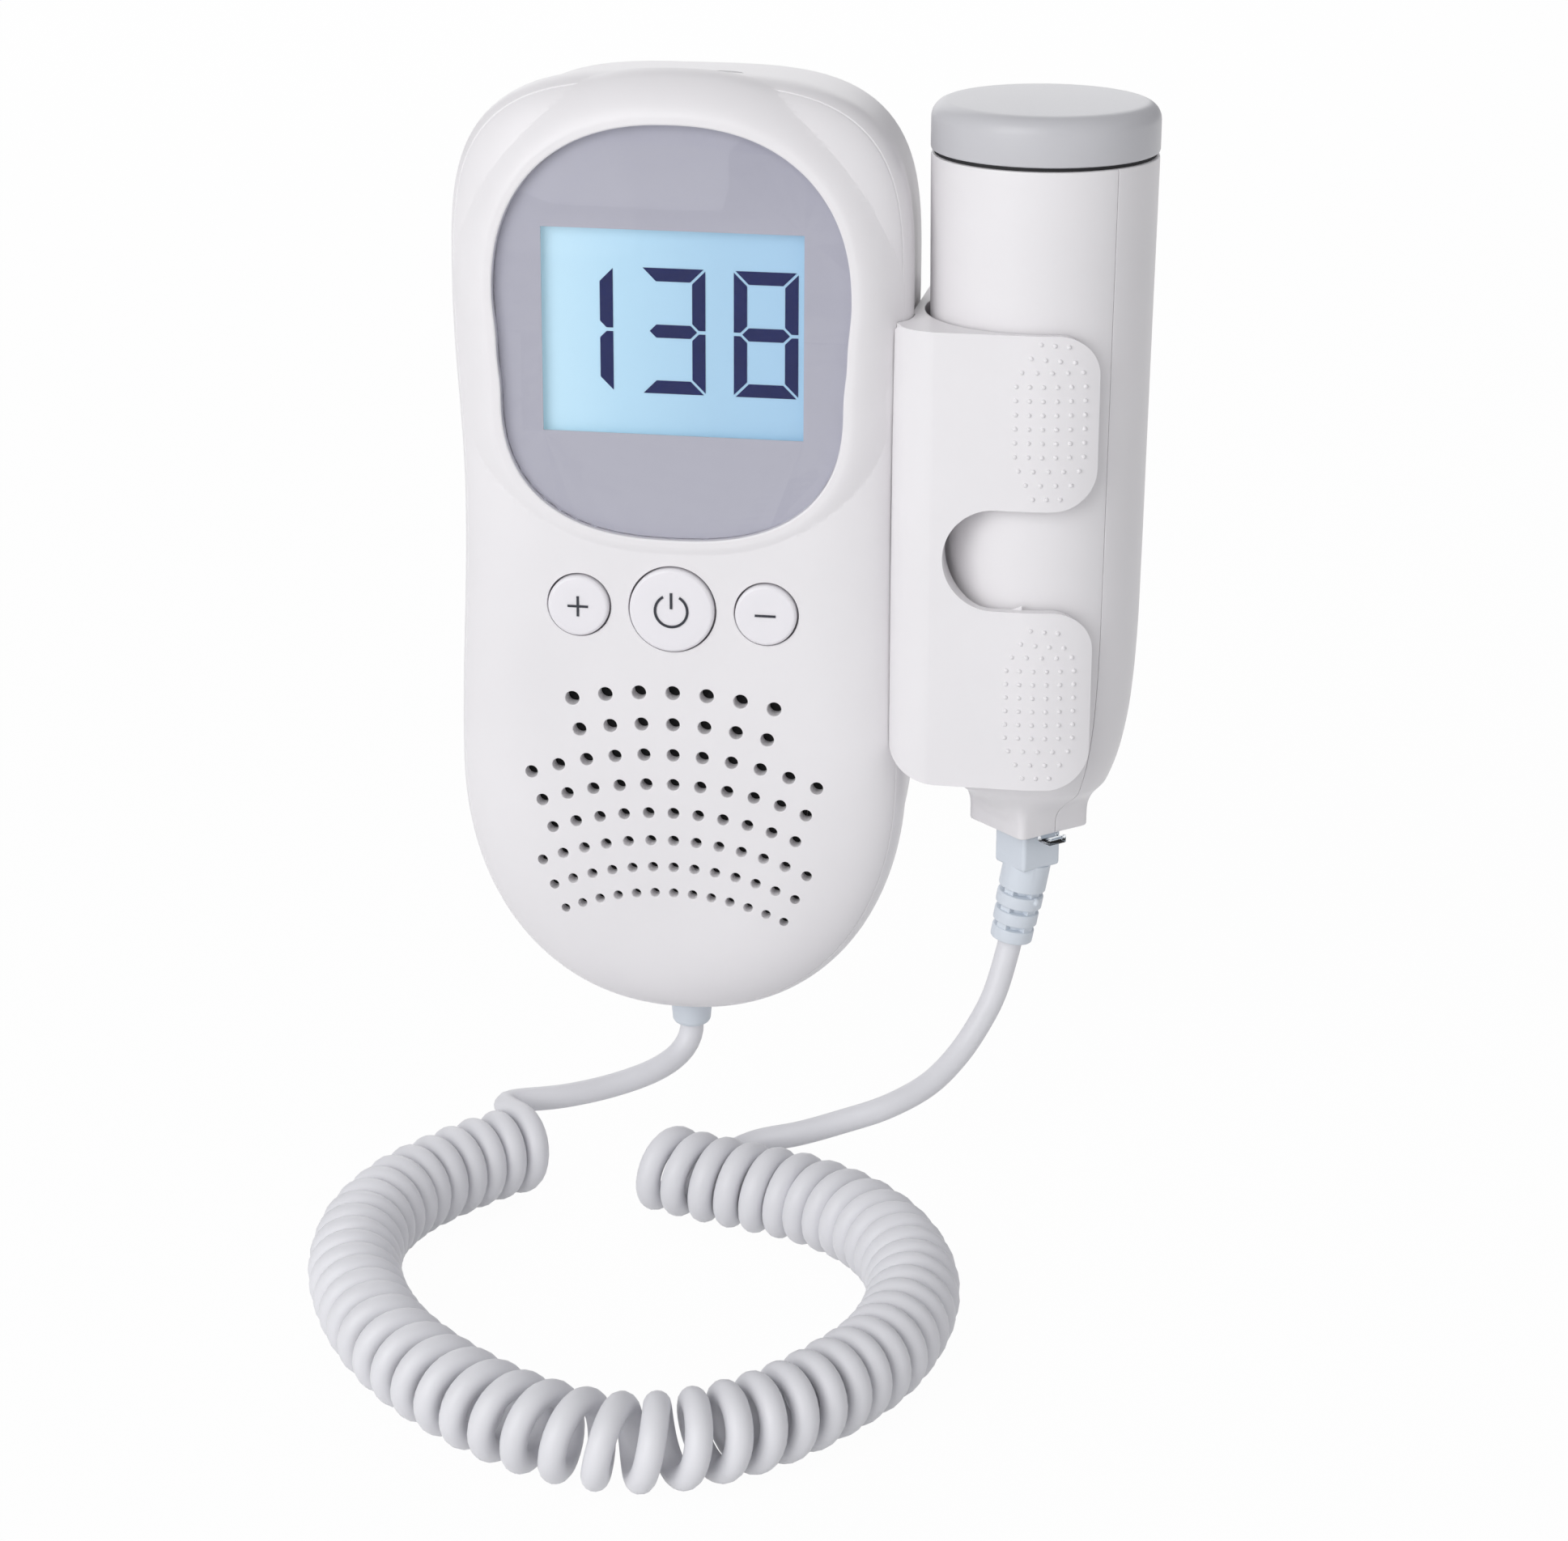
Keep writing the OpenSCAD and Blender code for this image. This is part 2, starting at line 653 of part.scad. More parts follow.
module rear_shell() {
    pin_reach = door_half_w + door_pin_len + door_gap;
    pin_z = door_low + door_t / 2;
    color(white) seated() difference() {
        shell_bowl(rear_out, rear_in, false) {
            block([-bay_half_w - bay_wall, bay_front_y - bay_wall, bay_low - bay_wall],
                [bay_half_w + bay_wall, cut, bay_high + bay_wall]);
            block([-pin_reach - bay_wall, -door_ledge - bay_wall, door_low - bay_wall],
                [pin_reach + bay_wall, cut, door_high + bay_wall]);
            for (p = case_screw_places) bar_y(p[0], p[1], cut, part_y + seat_gap, boss_r);
            for (z = holder_screw_places)
                bar_x(case_waist_w / 2 - holder_boss, case_top_w, holder_screw_y, z, 2 * holder_screw_r);
        }
        block([-bay_half_w, bay_front_y, bay_low], [bay_half_w, cut, bay_high]);
        slab(cut, -door_ledge) polygon(door_outline(door_gap));
        bar_x(-pin_reach, pin_reach, door_axis_y, pin_z, door_pin_r + door_pin_clear);
        bar_y(0, door_high + door_gap, cut, -notch_d, notch_r);
        for (p = case_screw_places) {
            bar_y(p[0], p[1], cut, -screw_sink, screw_head_r + screw_clear);
            bar_y(p[0], p[1], cut, part_y - cut, screw_r + screw_clear);
        }
        translate([0, gland_y, -half_h - cut])
            cylinder(h = 3 * wall, r = gland_neck_r + gland_neck_clear);
        translate([socket_x, socket_y, half_h - 3 * wall])
            cylinder(h = 4 * wall, r = socket_collar_r + seat_gap);
        for (z = holder_screw_places)
            bar_x(case_waist_w / 2 - holder_boss - cut, case_top_w, holder_screw_y, z,
                holder_screw_r + screw_clear);
    }
}

// Outline of the battery door: square at its hinge, round corners at its free end
function door_outline(grow) = let(w = door_half_w + grow, high = door_high + grow, r = door_round + grow)
    concat([[-w, door_low - grow], [w, door_low - grow]], arc(w - r, high - r, r, 0, 90),
        arc(r - w, high - r, r, 90, 180));

module battery_door() {
    pin_z = door_low + door_t / 2;
    color(white) seated() union() {
        intersection() {
            slab(-run_gap, -run_gap - door_t) polygon(door_outline(0));
            union() {
                block([-door_half_w, -case_d / 2, pin_z], [door_half_w, cut, door_high]);
                bar_x(-door_half_w, door_half_w, door_axis_y, pin_z, door_t / 2);
            }
        }
        bar_x(-door_half_w - door_pin_len, door_half_w + door_pin_len, door_axis_y, pin_z, door_pin_r);
    }
}

module display_window() {
    color([0.78, 0.8, 0.85, 0.5]) seated()
        slab(front_y + window_sink - mask_t, front_y + window_sink - mask_t - lens_t)
            polygon(window_outline(0));
}

module window_mask() {
    color(panel_grey) seated() difference() {
        slab(front_y + window_sink, front_y + window_sink - mask_t) polygon(window_outline(0));
        slab(front_y + window_sink + cut, front_y) translate([0, view_z])
            square([view_w, view_h], center = true);
    }
}

module lcd_glass() {
    color([0.75, 0.9, 0.96]) seated()
        slab(glass_back_y, pad_y) translate([0, view_z]) square([glass_w, glass_h], center = true);
}

// The seven bars of a figure in a cell, named by their usual letters
function bar_shape(name, w, h, t, g) =
    name == "a" ? [[g, h], [w - g, h], [w - g - t, h - t], [g + t, h - t]] :
    name == "d" ? [[g, 0], [w - g, 0], [w - g - t, t], [g + t, t]] :
    name == "g" ? [[g + t / 2, h / 2], [g + t, (h + t) / 2], [w - g - t, (h + t) / 2],
        [w - g - t / 2, h / 2], [w - g - t, (h - t) / 2], [g + t, (h - t) / 2]] :
    name == "b" ? [[w, h - g], [w, h / 2 + g], [w - t / 2, h / 2 + g], [w - t, (h + t) / 2 + g],
        [w - t, h - t - g]] :
    name == "c" ? [for (p = bar_shape("b", w, h, t, g)) [p[0], h - p[1]]] :
    name == "f" ? [for (p = bar_shape("b", w, h, t, g)) [w - p[0], p[1]]] :
    [for (p = bar_shape("b", w, h, t, g)) [w - p[0], h - p[1]]];

digits = [["b", "c"], ["a", "b", "g", "c", "d"], ["a", "b", "c", "d", "e", "f", "g"]];

module lcd_segments() {
    color([0.1, 0.2, 0.45]) seated() slab(pad_y, pad_y - segment_h)
        for (i = [0:len(digits) - 1])
            translate([digits_right - digit_w - digit_pitch * (len(digits) - 1 - i),
                view_z - digit_h / 2])
                for (name = digits[i])
                    polygon(bar_shape(name, digit_w, digit_h, segment_t, segment_gap));
}

module lcd_frame() {
    color(white) seated() difference() {
        slab(backlight_back_y, pad_y + seat_gap) translate([0, view_z])
            square([glass_w + 2 * frame_wall, glass_h + 2 * frame_wall], center = true);
        slab(backlight_back_y + cut, pad_y - cut) translate([0, view_z])
            square([glass_w + 2 * seat_gap, glass_h + 2 * seat_gap], center = true);
    }
}

module lcd_backlight() {
    color([0.95, 0.97, 1]) seated()
        slab(backlight_back_y, glass_back_y) translate([0, view_z])
            square([glass_w - frame_wall, glass_h - frame_wall], center = true);
}

module main_board() {
    step_x = board_half_w - board_corner / 2;
    right = [[board_half_w, board_low], [board_half_w, board_high - 2 * board_corner],
        [step_x, board_high - board_corner], [step_x, board_high]];
    color(board_green) seated() difference() {
        slab(board_back_y, board_front_y)
            polygon(concat(right, reversed([for (p = right) [-p[0], p[1]]])));
        for (p = post_places)
            bar_y(p[0], p[1], board_back_y + cut, board_front_y - cut, board_screw_r + screw_clear);
        for (p = case_screw_places)
            bar_y(p[0], p[1], board_back_y + cut, board_front_y - cut, boss_r + run_gap);
    }
}

module board_chips() {
    color(black) seated() {
        for (c = chip_places)
            slab(board_back_y + chip_t, board_back_y) translate([c[0], c[1]])
                square([c[2], c[3]], center = true);
        slab(board_back_y + 2 * chip_t, board_back_y) translate(header_place)
            square(header_size, center = true);
    }
}

module board_screws() {
    color(metal) seated()
        for (p = post_places) {
            bar_y(p[0], p[1], board_back_y, board_front_y - board_screw_len + seat_gap, board_screw_r);
            bar_y(p[0], p[1], board_back_y + board_screw_head_h, board_back_y, board_screw_head_r);
        }
}

module key_switches() {
    color(black) seated()
        for (x = [-key_pitch, 0, key_pitch]) {
            slab(board_front_y, board_front_y - switch_body) translate([x, key_z])
                square([switch_side, switch_side], center = true);
            bar_y(x, key_z, board_front_y - switch_body, plunger_y, plunger_r);
        }
}

// Key: cap with a round edge, flange behind the wall and stem over its switch
module key(x, r) {
    top_y = front_y - key_proud;
    flange_y = inner_y + run_gap;
    stem_y = plunger_y - key_travel - seat_gap;
    turn_y(x, key_z, concat([[0, top_y], [r - key_round, top_y]],
        [for (a = [30, 60, 90]) [r - key_round * (1 - sin(a)), top_y + key_round * (1 - cos(a))]],
        [[r, flange_y], [r + flange_w, flange_y], [r + flange_w, flange_y + flange_t],
        [stem_r, flange_y + flange_t], [stem_r, stem_y], [0, stem_y]]));
}

// Flat symbol on top of a key
module mark(x) {
    slab(front_y - key_proud, front_y - key_proud - mark_h) translate([x, key_z]) children();
}

module power_key() {
    color(white) seated() key(0, power_r);
}

module power_mark() {
    wedge = 2 * power_mark_r;
    color(symbol_grey) seated() mark(0) {
        difference() {
            circle(power_mark_r);
            circle(power_mark_r - power_mark_line);
            polygon([[0, 0], [-wedge * sin(power_mark_open), wedge * cos(power_mark_open)],
                [0, wedge], [wedge * sin(power_mark_open), wedge * cos(power_mark_open)]]);
        }
        translate([-power_mark_line / 2, power_bar_low])
            square([power_mark_line, power_bar_high - power_bar_low]);
    }
}

module plus_key() {
    color(white) seated() key(-key_pitch, step_key_r);
}

module plus_mark() {
    color(symbol_grey) seated() mark(-key_pitch) {
        square([mark_len, mark_line], center = true);
        square([mark_line, mark_len], center = true);
    }
}

module minus_key() {
    color(white) seated() key(key_pitch, step_key_r);
}

module minus_mark() {
    color(symbol_grey) seated() mark(key_pitch) square([mark_len, mark_line], center = true);
}

module speaker_cloth() {
    color(black) seated()
        bar_y(0, speaker_z, speaker_front_y - seat_gap, speaker_front_y - seat_gap - cloth_t, cloth_r);
}

module speaker_basket() {
    y0 = speaker_front_y;
    hub_r = magnet_r - 2 * basket_wall;
    color(metal) seated() turn_y(0, speaker_z, [[speaker_r - rim_w, y0], [speaker_r, y0],
        [speaker_r, y0 + rim_t], [basket_r, y0 + basket_d], [hub_r, y0 + basket_d],
        [hub_r, y0 + basket_d - basket_wall], [basket_r - basket_wall, y0 + basket_d - basket_wall],
        [speaker_r - rim_w, y0 + rim_t]]);
}

module speaker_cone() {
    y0 = speaker_front_y + rim_t / 2;
    low = y0 + 3 * rim_t;
    cone_r = speaker_r - rim_w - seat_gap;
    color(black) seated() turn_y(0, speaker_z, [[0, y0 + rim_t], [dome_r, low], [cone_r, y0],
        [cone_r, y0 + basket_wall / 2], [dome_r, low + basket_wall], [dome_r, low + rim_t],
        [0, low + rim_t]]);
}

module speaker_magnet() {
    y0 = speaker_front_y + basket_d;
    color(metal) seated() bar_y(0, speaker_z, y0 + magnet_t, y0, magnet_r);
}

module headphone_socket() {
    top_z = half_h - rear_draft;
    body_z = half_h - rear_draft - wall - seat_gap;
    color(black) seated() difference() {
        union() {
            block([socket_x - socket_outer, socket_y - socket_outer, body_z - socket_depth],
                [socket_x + socket_outer, socket_y + 2 * socket_outer, body_z]);
            translate([socket_x, socket_y, body_z - wall])
                cylinder(h = top_z - body_z + wall, r = socket_collar_r);
        }
        translate([socket_x, socket_y, top_z - socket_depth])
            cylinder(h = socket_depth + cut, r = socket_r);
    }
}

module battery_cells() {
    color([0.2, 0.35, 0.3]) seated()
        for (side = [-1, 1])
            translate([side * cell_pitch / 2, cell_axis_y,
                side < 0 ? bay_high - contact_t : bay_low + contact_t])
                mirror([0, 0, side < 0 ? 1 : 0]) {
                    cylinder(h = nub_h, r = nub_r);
                    translate([0, 0, nub_h]) cylinder(h = cell_len - nub_h, r = cell_r);
                }
}

module battery_springs() {
    length = bay_high - bay_low - 2 * contact_t - cell_len;
    color(metal) seated()
        for (side = [-1, 1])
            translate([side * cell_pitch / 2, cell_axis_y,
                side < 0 ? bay_low + contact_t : bay_high - contact_t])
                mirror([0, 0, side < 0 ? 0 : 1]) cylinder(h = length, r1 = spring_r, r2 = spring_tip_r);
}

module battery_contacts() {
    color(metal) seated()
        for (side = [-1, 1])
            for (z = [bay_low, bay_high - contact_t])
                block([side * cell_pitch / 2 - contact_half_w, cell_axis_y - contact_half_w, z],
                    [side * cell_pitch / 2 + contact_half_w, cell_axis_y + contact_half_w, z + contact_t]);
}

module case_screws() {
    color(metal) seated()
        for (p = case_screw_places) {
            bar_y(p[0], p[1], screw_head_h - screw_sink, -screw_sink, screw_head_r);
            bar_y(p[0], p[1], -screw_sink, -screw_sink - screw_len, screw_r);
        }
}

module holder_screws() {
    head_x = case_waist_w / 2 - holder_boss;
    color(metal) seated()
        for (z = holder_screw_places) {
            bar_x(head_x - screw_head_h, head_x, holder_screw_y, z, 2 * holder_screw_r);
            bar_x(head_x, holder_left + holder_pad, holder_screw_y, z, holder_screw_r);
        }
}

// Arc of points, used in the outlines below
function arc(x, y, r, a0, a1, n = 6) = [for (i = [0:n]) let(a = a0 + (a1 - a0) * i / n)
    [x + r * cos(a), y + r * sin(a)]];

// Plan of the holder: round behind and right, square with a round corner beside the case
module holder_plan() {
    front = probe_y - holder_r;
    translate([probe_x, probe_y]) circle(holder_r);
    polygon(concat(arc(holder_left + holder_corner, front + holder_corner, holder_corner, 180, 270),
        [[probe_x, front], [probe_x, -seat_gap], [holder_left, -seat_gap]]));
}

// Front view of the holder: two fingers with round corners and the cut-out between them
module holder_front() {
    right = probe_x + holder_right;
    gap_r = finger_gap / 2;
    low = finger_mid_z - gap_r;
    high = finger_mid_z + gap_r;
    polygon(concat(
        arc(holder_left + holder_foot, holder_bottom + holder_foot, holder_foot, 180, 270),
        arc(right - finger_round, holder_bottom + finger_round, finger_round, 270, 360),
        arc(right - finger_round, low - finger_round, finger_round, 0, 90),
        arc(finger_left + gap_r, finger_mid_z, gap_r, 270, 90, 12),
        arc(right - finger_round, high + finger_round, finger_round, -90, 0),
        arc(right - finger_round, holder_top - finger_round, finger_round, 0, 90),
        arc(holder_left + holder_shoulder, holder_top - holder_shoulder, holder_shoulder, 90, 180)));
}

module probe_holder() {
    h = holder_top - holder_bottom;
    color(white) seated() difference() {
        intersection() {
            translate([0, 0, holder_bottom]) linear_extrude(h) holder_plan();
            union() {
                slab(probe_y, -2 * case_d) holder_front();
                slab(cut, probe_y)
                    polygon(concat(
                        arc(holder_left + holder_foot, holder_bottom + holder_foot, holder_foot, 180, 270),
                        arc(probe_x + back_reach - holder_shoulder, holder_bottom + holder_shoulder,
                            holder_shoulder, 270, 360),
                        arc(probe_x + back_reach - holder_shoulder, holder_top - holder_shoulder,
                            holder_shoulder, 0, 90),
                        arc(holder_left + holder_shoulder, holder_top - holder_shoulder,
                            holder_shoulder, 90, 180)));
            }
        }
        translate([probe_x, probe_y, holder_bottom + holder_lip_h]) cylinder(h = h, r = holder_bore_r);
        translate([probe_x, probe_y, holder_bottom - cut])
            cylinder(h = h, r = probe_radius(holder_bottom + holder_lip_h) + holder_clear);
        slab(part_y, -2 * case_d) polygon([for (p = case_outline) p * (1 + holder_fit / half_w)]);
        slab(2 * cut, part_y - seat_gap)
            polygon([for (p = case_outline) p * (1 + (holder_fit - rear_step) / half_w)]);
        for (z = holder_screw_places)
            bar_x(holder_left - cut, holder_left + holder_pad, holder_screw_y, z,
                holder_screw_r + seat_gap / 2);
    }
}

// Radius of the probe at a height, from its table of shares
function probe_radius(z) = probe_r * lookup((probe_face_z - z) / probe_len, probe_draft_shares);

function probe_profile(inset, low, high) = concat(
    [for (p = probe_draft_shares) let(z = probe_face_z - probe_len * p[0])
        if (z > low && z < high) [probe_radius(z) - inset, z]],
    [[probe_radius(low) - inset, low]]);

module probe_body(inset, low, high) {
    rotate_extrude() polygon(concat([[0, low], [0, high], [probe_radius(high) - inset, high]],
        probe_profile(inset, low, high)));
}

// Outside of the probe below its cap: bullet, then a blend into the square collar
module probe_outside() {
    collar_top = probe_low_z + collar_h;
    probe_body(0, blend_z, cap_low_z - seal_h);
    hull() {
        for (z = [blend_z, (2 * blend_z + blend_low_z) / 3, (blend_z + 2 * blend_low_z) / 3, blend_low_z])
            translate([0, 0, z]) cylinder(h = slice, r = probe_radius(z), $fn = blend_fn);
        translate([0, 0, probe_low_z]) linear_extrude(collar_h)
            polygon(round_rect(collar_side, collar_side, collar_round));
    }
}

module on_probe() {
    seated() translate([probe_x, probe_y, 0]) rotate([0, 0, seam_turn]) children();
}

module probe_shell(side) {
    half = 2 * probe_r;
    on_probe() difference() {
        probe_outside();
        probe_body(probe_wall, cavity_low_z, cap_low_z - seal_h + cut);
        block([-socket_half - seat_gap, -socket_half - seat_gap, socket_low_z],
            [socket_half + seat_gap, socket_half + seat_gap, cavity_low_z + cut]);
        block([-port_half, -port_half, probe_low_z - cut], [port_reach, port_half, socket_low_z + cut]);
        block([-half, side < 0 ? -seam_gap : -half, probe_low_z - cut],
            [half, side < 0 ? half : seam_gap, probe_face_z]);
    }
}

module probe_front_shell() {
    color(white) probe_shell(-1);
}

module probe_rear_shell() {
    color(white) probe_shell(1);
}

module probe_cap() {
    color(pale_grey) on_probe() difference() {
        rotate_extrude() polygon(concat([[0, cap_low_z], [probe_r, cap_low_z]],
            arc(probe_r - cap_round, probe_face_z - cap_round, cap_round, 0, 90), [[0, probe_face_z]]));
        translate([0, 0, cap_low_z - cut])
            cylinder(h = cap_h + cut - cap_face_t, r = probe_r - probe_wall);
    }
}

module probe_seal() {
    color(black) on_probe() difference() {
        translate([0, 0, cap_low_z - seal_h]) cylinder(h = seal_h, r = probe_r - seal_in);
        translate([0, 0, cap_low_z - seal_h - cut]) cylinder(h = seal_h + 2 * cut, r = crystal_r + seat_gap);
    }
}

module probe_crystals() {
    color([0.85, 0.8, 0.7]) on_probe() difference() {
        translate([0, 0, crystal_low_z]) cylinder(h = crystal_t, r = crystal_r);
        block([-probe_r, -crystal_gap / 2, crystal_low_z - cut], [probe_r, crystal_gap / 2, probe_face_z]);
    }
}

module crystal_backing() {
    color(black) on_probe() translate([0, 0, backing_low_z]) cylinder(h = backing_t, r = crystal_r);
}

module probe_board() {
    color(board_green) on_probe() block([-probe_board_w / 2, -probe_board_t - seam_gap, socket_top_z],
        [probe_board_w / 2, -seam_gap, backing_low_z]);
}

// Plug end: socket, clear plug with its contacts, grey overmould, latch lever
module probe_socket() {
    color(black) on_probe() difference() {
        block([-socket_half, -socket_half, socket_low_z], [socket_half, socket_half, socket_top_z]);
        block([-plug_half - plug_clear, -plug_half - plug_clear, socket_low_z - cut],
            [plug_half + plug_clear, plug_half + plug_clear, plug_top_z + plug_clear]);
        block([0, -latch_w / 2 - run_gap, socket_low_z - cut],
            [latch_slot, latch_w / 2 + run_gap, latch_root_z + 2 * run_gap]);
    }
}

module plug_body() {
    color([0.85, 0.88, 0.9, 0.6]) on_probe() difference() {
        block([-plug_half, -plug_half, relief_top_z], [plug_half, plug_half, plug_top_z]);
        for (i = [0:contact_count - 1])
            block([-plug_half - cut, contact_y(i) - plug_contact_w / 2, plug_top_z - contact_len],
                [-plug_half + contact_deep, contact_y(i) + plug_contact_w / 2, plug_top_z + cut]);
    }
}

function contact_y(i) = contact_pitch * (i - (contact_count - 1) / 2);

module plug_contacts() {
    color([0.85, 0.7, 0.3]) on_probe()
        for (i = [0:contact_count - 1])
            block([-plug_half, contact_y(i) - plug_contact_w / 2, plug_top_z - contact_len],
                [-plug_half + contact_deep, contact_y(i) + plug_contact_w / 2, plug_top_z]);
}

module plug_overmould() {
    color(relief_grey) seated() {
        translate([probe_x, probe_y, relief_top_z - relief_block_h]) rotate([0, 0, seam_turn])
            linear_extrude(relief_block_h) polygon(round_rect(relief_side, relief_side, relief_corner));
        translate(relief_root) rotate([0, relief_lean, 0]) mirror([0, 0, 1]) {
            translate([0, 0, -neck_sink]) cylinder(h = neck_h + neck_sink, r = neck_r);
            cylinder(h = relief_len - relief_rib_h / 2, r = relief_core_r);
            for (i = [0:relief_ribs - 1])
                translate([0, 0, neck_h + relief_slot_h + i * (relief_rib_h + relief_slot_h)])
                    cylinder(h = relief_rib_h, r = relief_r - i * relief_taper);
            for (turn = [0, 90])
                rotate([0, 0, turn + relief_web_turn])
                    block([-relief_web_d, -relief_web_w / 2, neck_h - neck_sink],
                        [relief_web_d, relief_web_w / 2, relief_len - relief_rib_h / 2]);
        }
    }
}

module plug_latch() {
    foot_d = latch_root_d + latch_lean;
    color([0.85, 0.88, 0.9, 0.6]) on_probe() {
        translate([latch_root_d, -latch_w / 2, latch_root_z]) rotate([-90, 0, 0])
            cylinder(h = latch_w, r = latch_t / 2);
        translate([0, latch_w / 2, 0]) rotate([90, 0, 0]) linear_extrude(latch_w)
            polygon([[latch_root_d - latch_t / 2, latch_root_z], [latch_root_d + latch_t / 2, latch_root_z],
                [foot_d + latch_t / 2, latch_foot_z + latch_t],
                [latch_reach - latch_t, latch_foot_z + latch_t],
                [latch_reach - latch_t, latch_foot_z + latch_hook], [latch_reach, latch_foot_z + latch_hook],
                [latch_reach, latch_foot_z], [foot_d - latch_t / 2, latch_foot_z]]);
    }
}

module cord_gland() {
    color(relief_grey) seated() translate([0, gland_y, 0]) difference() {
        rotate_extrude() polygon(concat([[0, gland_tip_z]],
            arc(gland_tip_r - gland_round, gland_tip_z + gland_round, gland_round, 270, 360),
            [[gland_r, gland_top_z], [gland_neck_r, gland_top_z], [gland_neck_r, flange_low_z],
            [gland_flange_r, flange_low_z], [gland_flange_r, flange_low_z + gland_flange_h],
            [0, flange_low_z + gland_flange_h]]));
    }
}

module cord_clamp() {
    color(metal) seated() translate([0, gland_y, flange_low_z + gland_flange_h])
        block([-clamp_half[0], -clamp_half[1], 0], [clamp_half[0], clamp_half[1], 2 * clamp_half[2]]);
}

module cord_lead_unit() {
    color(cord_grey) ring_skin(lead_rings(gland_lead, [0, 0, -1], -axis_out(0)));
}

module cord_coil() {
    color(cord_grey) ring_skin(coil_rings_all);
}

module cord_lead_probe() {
    color(cord_grey) ring_skin(lead_rings(plug_lead, relief_dir, -axis_out(coil_len)));
}

front_shell();
rear_shell();
battery_door();
display_window();
window_mask();
lcd_glass();
lcd_segments();
lcd_frame();
lcd_backlight();
main_board();
board_chips();
board_screws();
key_switches();
power_key();
power_mark();
plus_key();
plus_mark();
minus_key();
minus_mark();
speaker_cloth();
speaker_basket();
speaker_cone();
speaker_magnet();
headphone_socket();
battery_cells();
battery_springs();
battery_contacts();
case_screws();
holder_screws();
probe_holder();
probe_front_shell();
probe_rear_shell();
probe_cap();
probe_seal();
probe_crystals();
crystal_backing();
probe_board();
probe_socket();
plug_body();
plug_contacts();
plug_overmould();
plug_latch();
cord_gland();
cord_clamp();
cord_lead_unit();
cord_coil();
cord_lead_probe();
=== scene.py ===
"""Hand-held fetal doppler: case with display, keys and speaker, clip-on probe and curly cord.

Pieces are drawn in millimetres from the middle of the case and seated on the frame's origin at the end.
"""
import json
from math import acos, asin, cos, pi, radians, sin, sqrt

import bmesh
import bpy
import numpy as np
from bmesh.types import BMEdge, BMFace, BMVert
from mathutils import Matrix, Vector


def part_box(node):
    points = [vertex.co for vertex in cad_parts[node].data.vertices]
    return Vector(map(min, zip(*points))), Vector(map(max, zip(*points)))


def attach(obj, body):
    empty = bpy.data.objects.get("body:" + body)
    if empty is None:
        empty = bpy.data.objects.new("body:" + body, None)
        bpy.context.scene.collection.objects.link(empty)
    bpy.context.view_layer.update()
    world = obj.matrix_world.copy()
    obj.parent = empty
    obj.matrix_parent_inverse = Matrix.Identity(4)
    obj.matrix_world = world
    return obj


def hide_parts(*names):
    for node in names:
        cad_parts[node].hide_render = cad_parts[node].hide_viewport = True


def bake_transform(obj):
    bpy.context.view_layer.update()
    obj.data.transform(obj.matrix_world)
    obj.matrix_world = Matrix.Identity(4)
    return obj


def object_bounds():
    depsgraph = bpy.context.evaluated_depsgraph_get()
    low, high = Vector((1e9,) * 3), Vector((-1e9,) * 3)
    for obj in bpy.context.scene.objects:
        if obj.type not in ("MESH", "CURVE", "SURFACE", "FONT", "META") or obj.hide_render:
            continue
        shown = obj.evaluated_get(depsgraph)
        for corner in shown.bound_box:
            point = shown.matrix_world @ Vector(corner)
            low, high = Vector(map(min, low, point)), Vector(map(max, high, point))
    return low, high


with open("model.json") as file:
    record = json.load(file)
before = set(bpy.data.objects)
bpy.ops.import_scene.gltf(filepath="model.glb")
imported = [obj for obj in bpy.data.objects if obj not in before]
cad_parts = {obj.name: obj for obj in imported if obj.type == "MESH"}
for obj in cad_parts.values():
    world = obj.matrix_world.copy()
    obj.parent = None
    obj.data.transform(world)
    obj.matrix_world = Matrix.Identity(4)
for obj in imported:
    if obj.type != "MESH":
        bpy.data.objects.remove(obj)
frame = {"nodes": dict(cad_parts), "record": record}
nodes = frame["nodes"]
cad_box = [list(corner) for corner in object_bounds()]

MM = 0.001
SEAT_UP = 34.0
ALONG_Y = (0, 1, 0)
SHARP_ANGLE, BEVEL_ANGLE = radians(32), radians(30)

# Case
CASE_H = 135.0
CASE_TOP_W = 64.0
CASE_WAIST_W = 61.6
CASE_LOW_W = 63.8
FRONT_Y = -33.0
PART_Y = -24.0
WALL = 2.0
INNER_Y = FRONT_Y + WALL
HALF_W = CASE_TOP_W / 2
HALF_H = CASE_H / 2
OUTLINE_POINTS = 260

# Window and display
WINDOW_LOW_W, WINDOW_TOP_W = 47.2, 49.2
WINDOW_LOW_Z, WINDOW_TOP_Z = 4.6, 61.5
LIP_H = 0.4
WINDOW_SINK = 1.6
PAD_Y = FRONT_Y + 3.0
MASK_T = 0.25
LENS_T = 1.4
VIEW_Z = 33.1
VIEW_W = 36.1
VIEW_H = 28.2
VIEW_OPEN = 1.9
CLEAR_IOR = 1.25

# Keys
KEY_Z = -5.5
KEY_PITCH = 13.2
POWER_R = 5.95
STEP_R = 4.3
KEY_CLEAR = 0.25
KEY_PROUD = 0.8
KEY_ROUND = 0.5
FLANGE_OUT, FLANGE_T = 0.9, 0.8
PLUNGER_R = 1.5

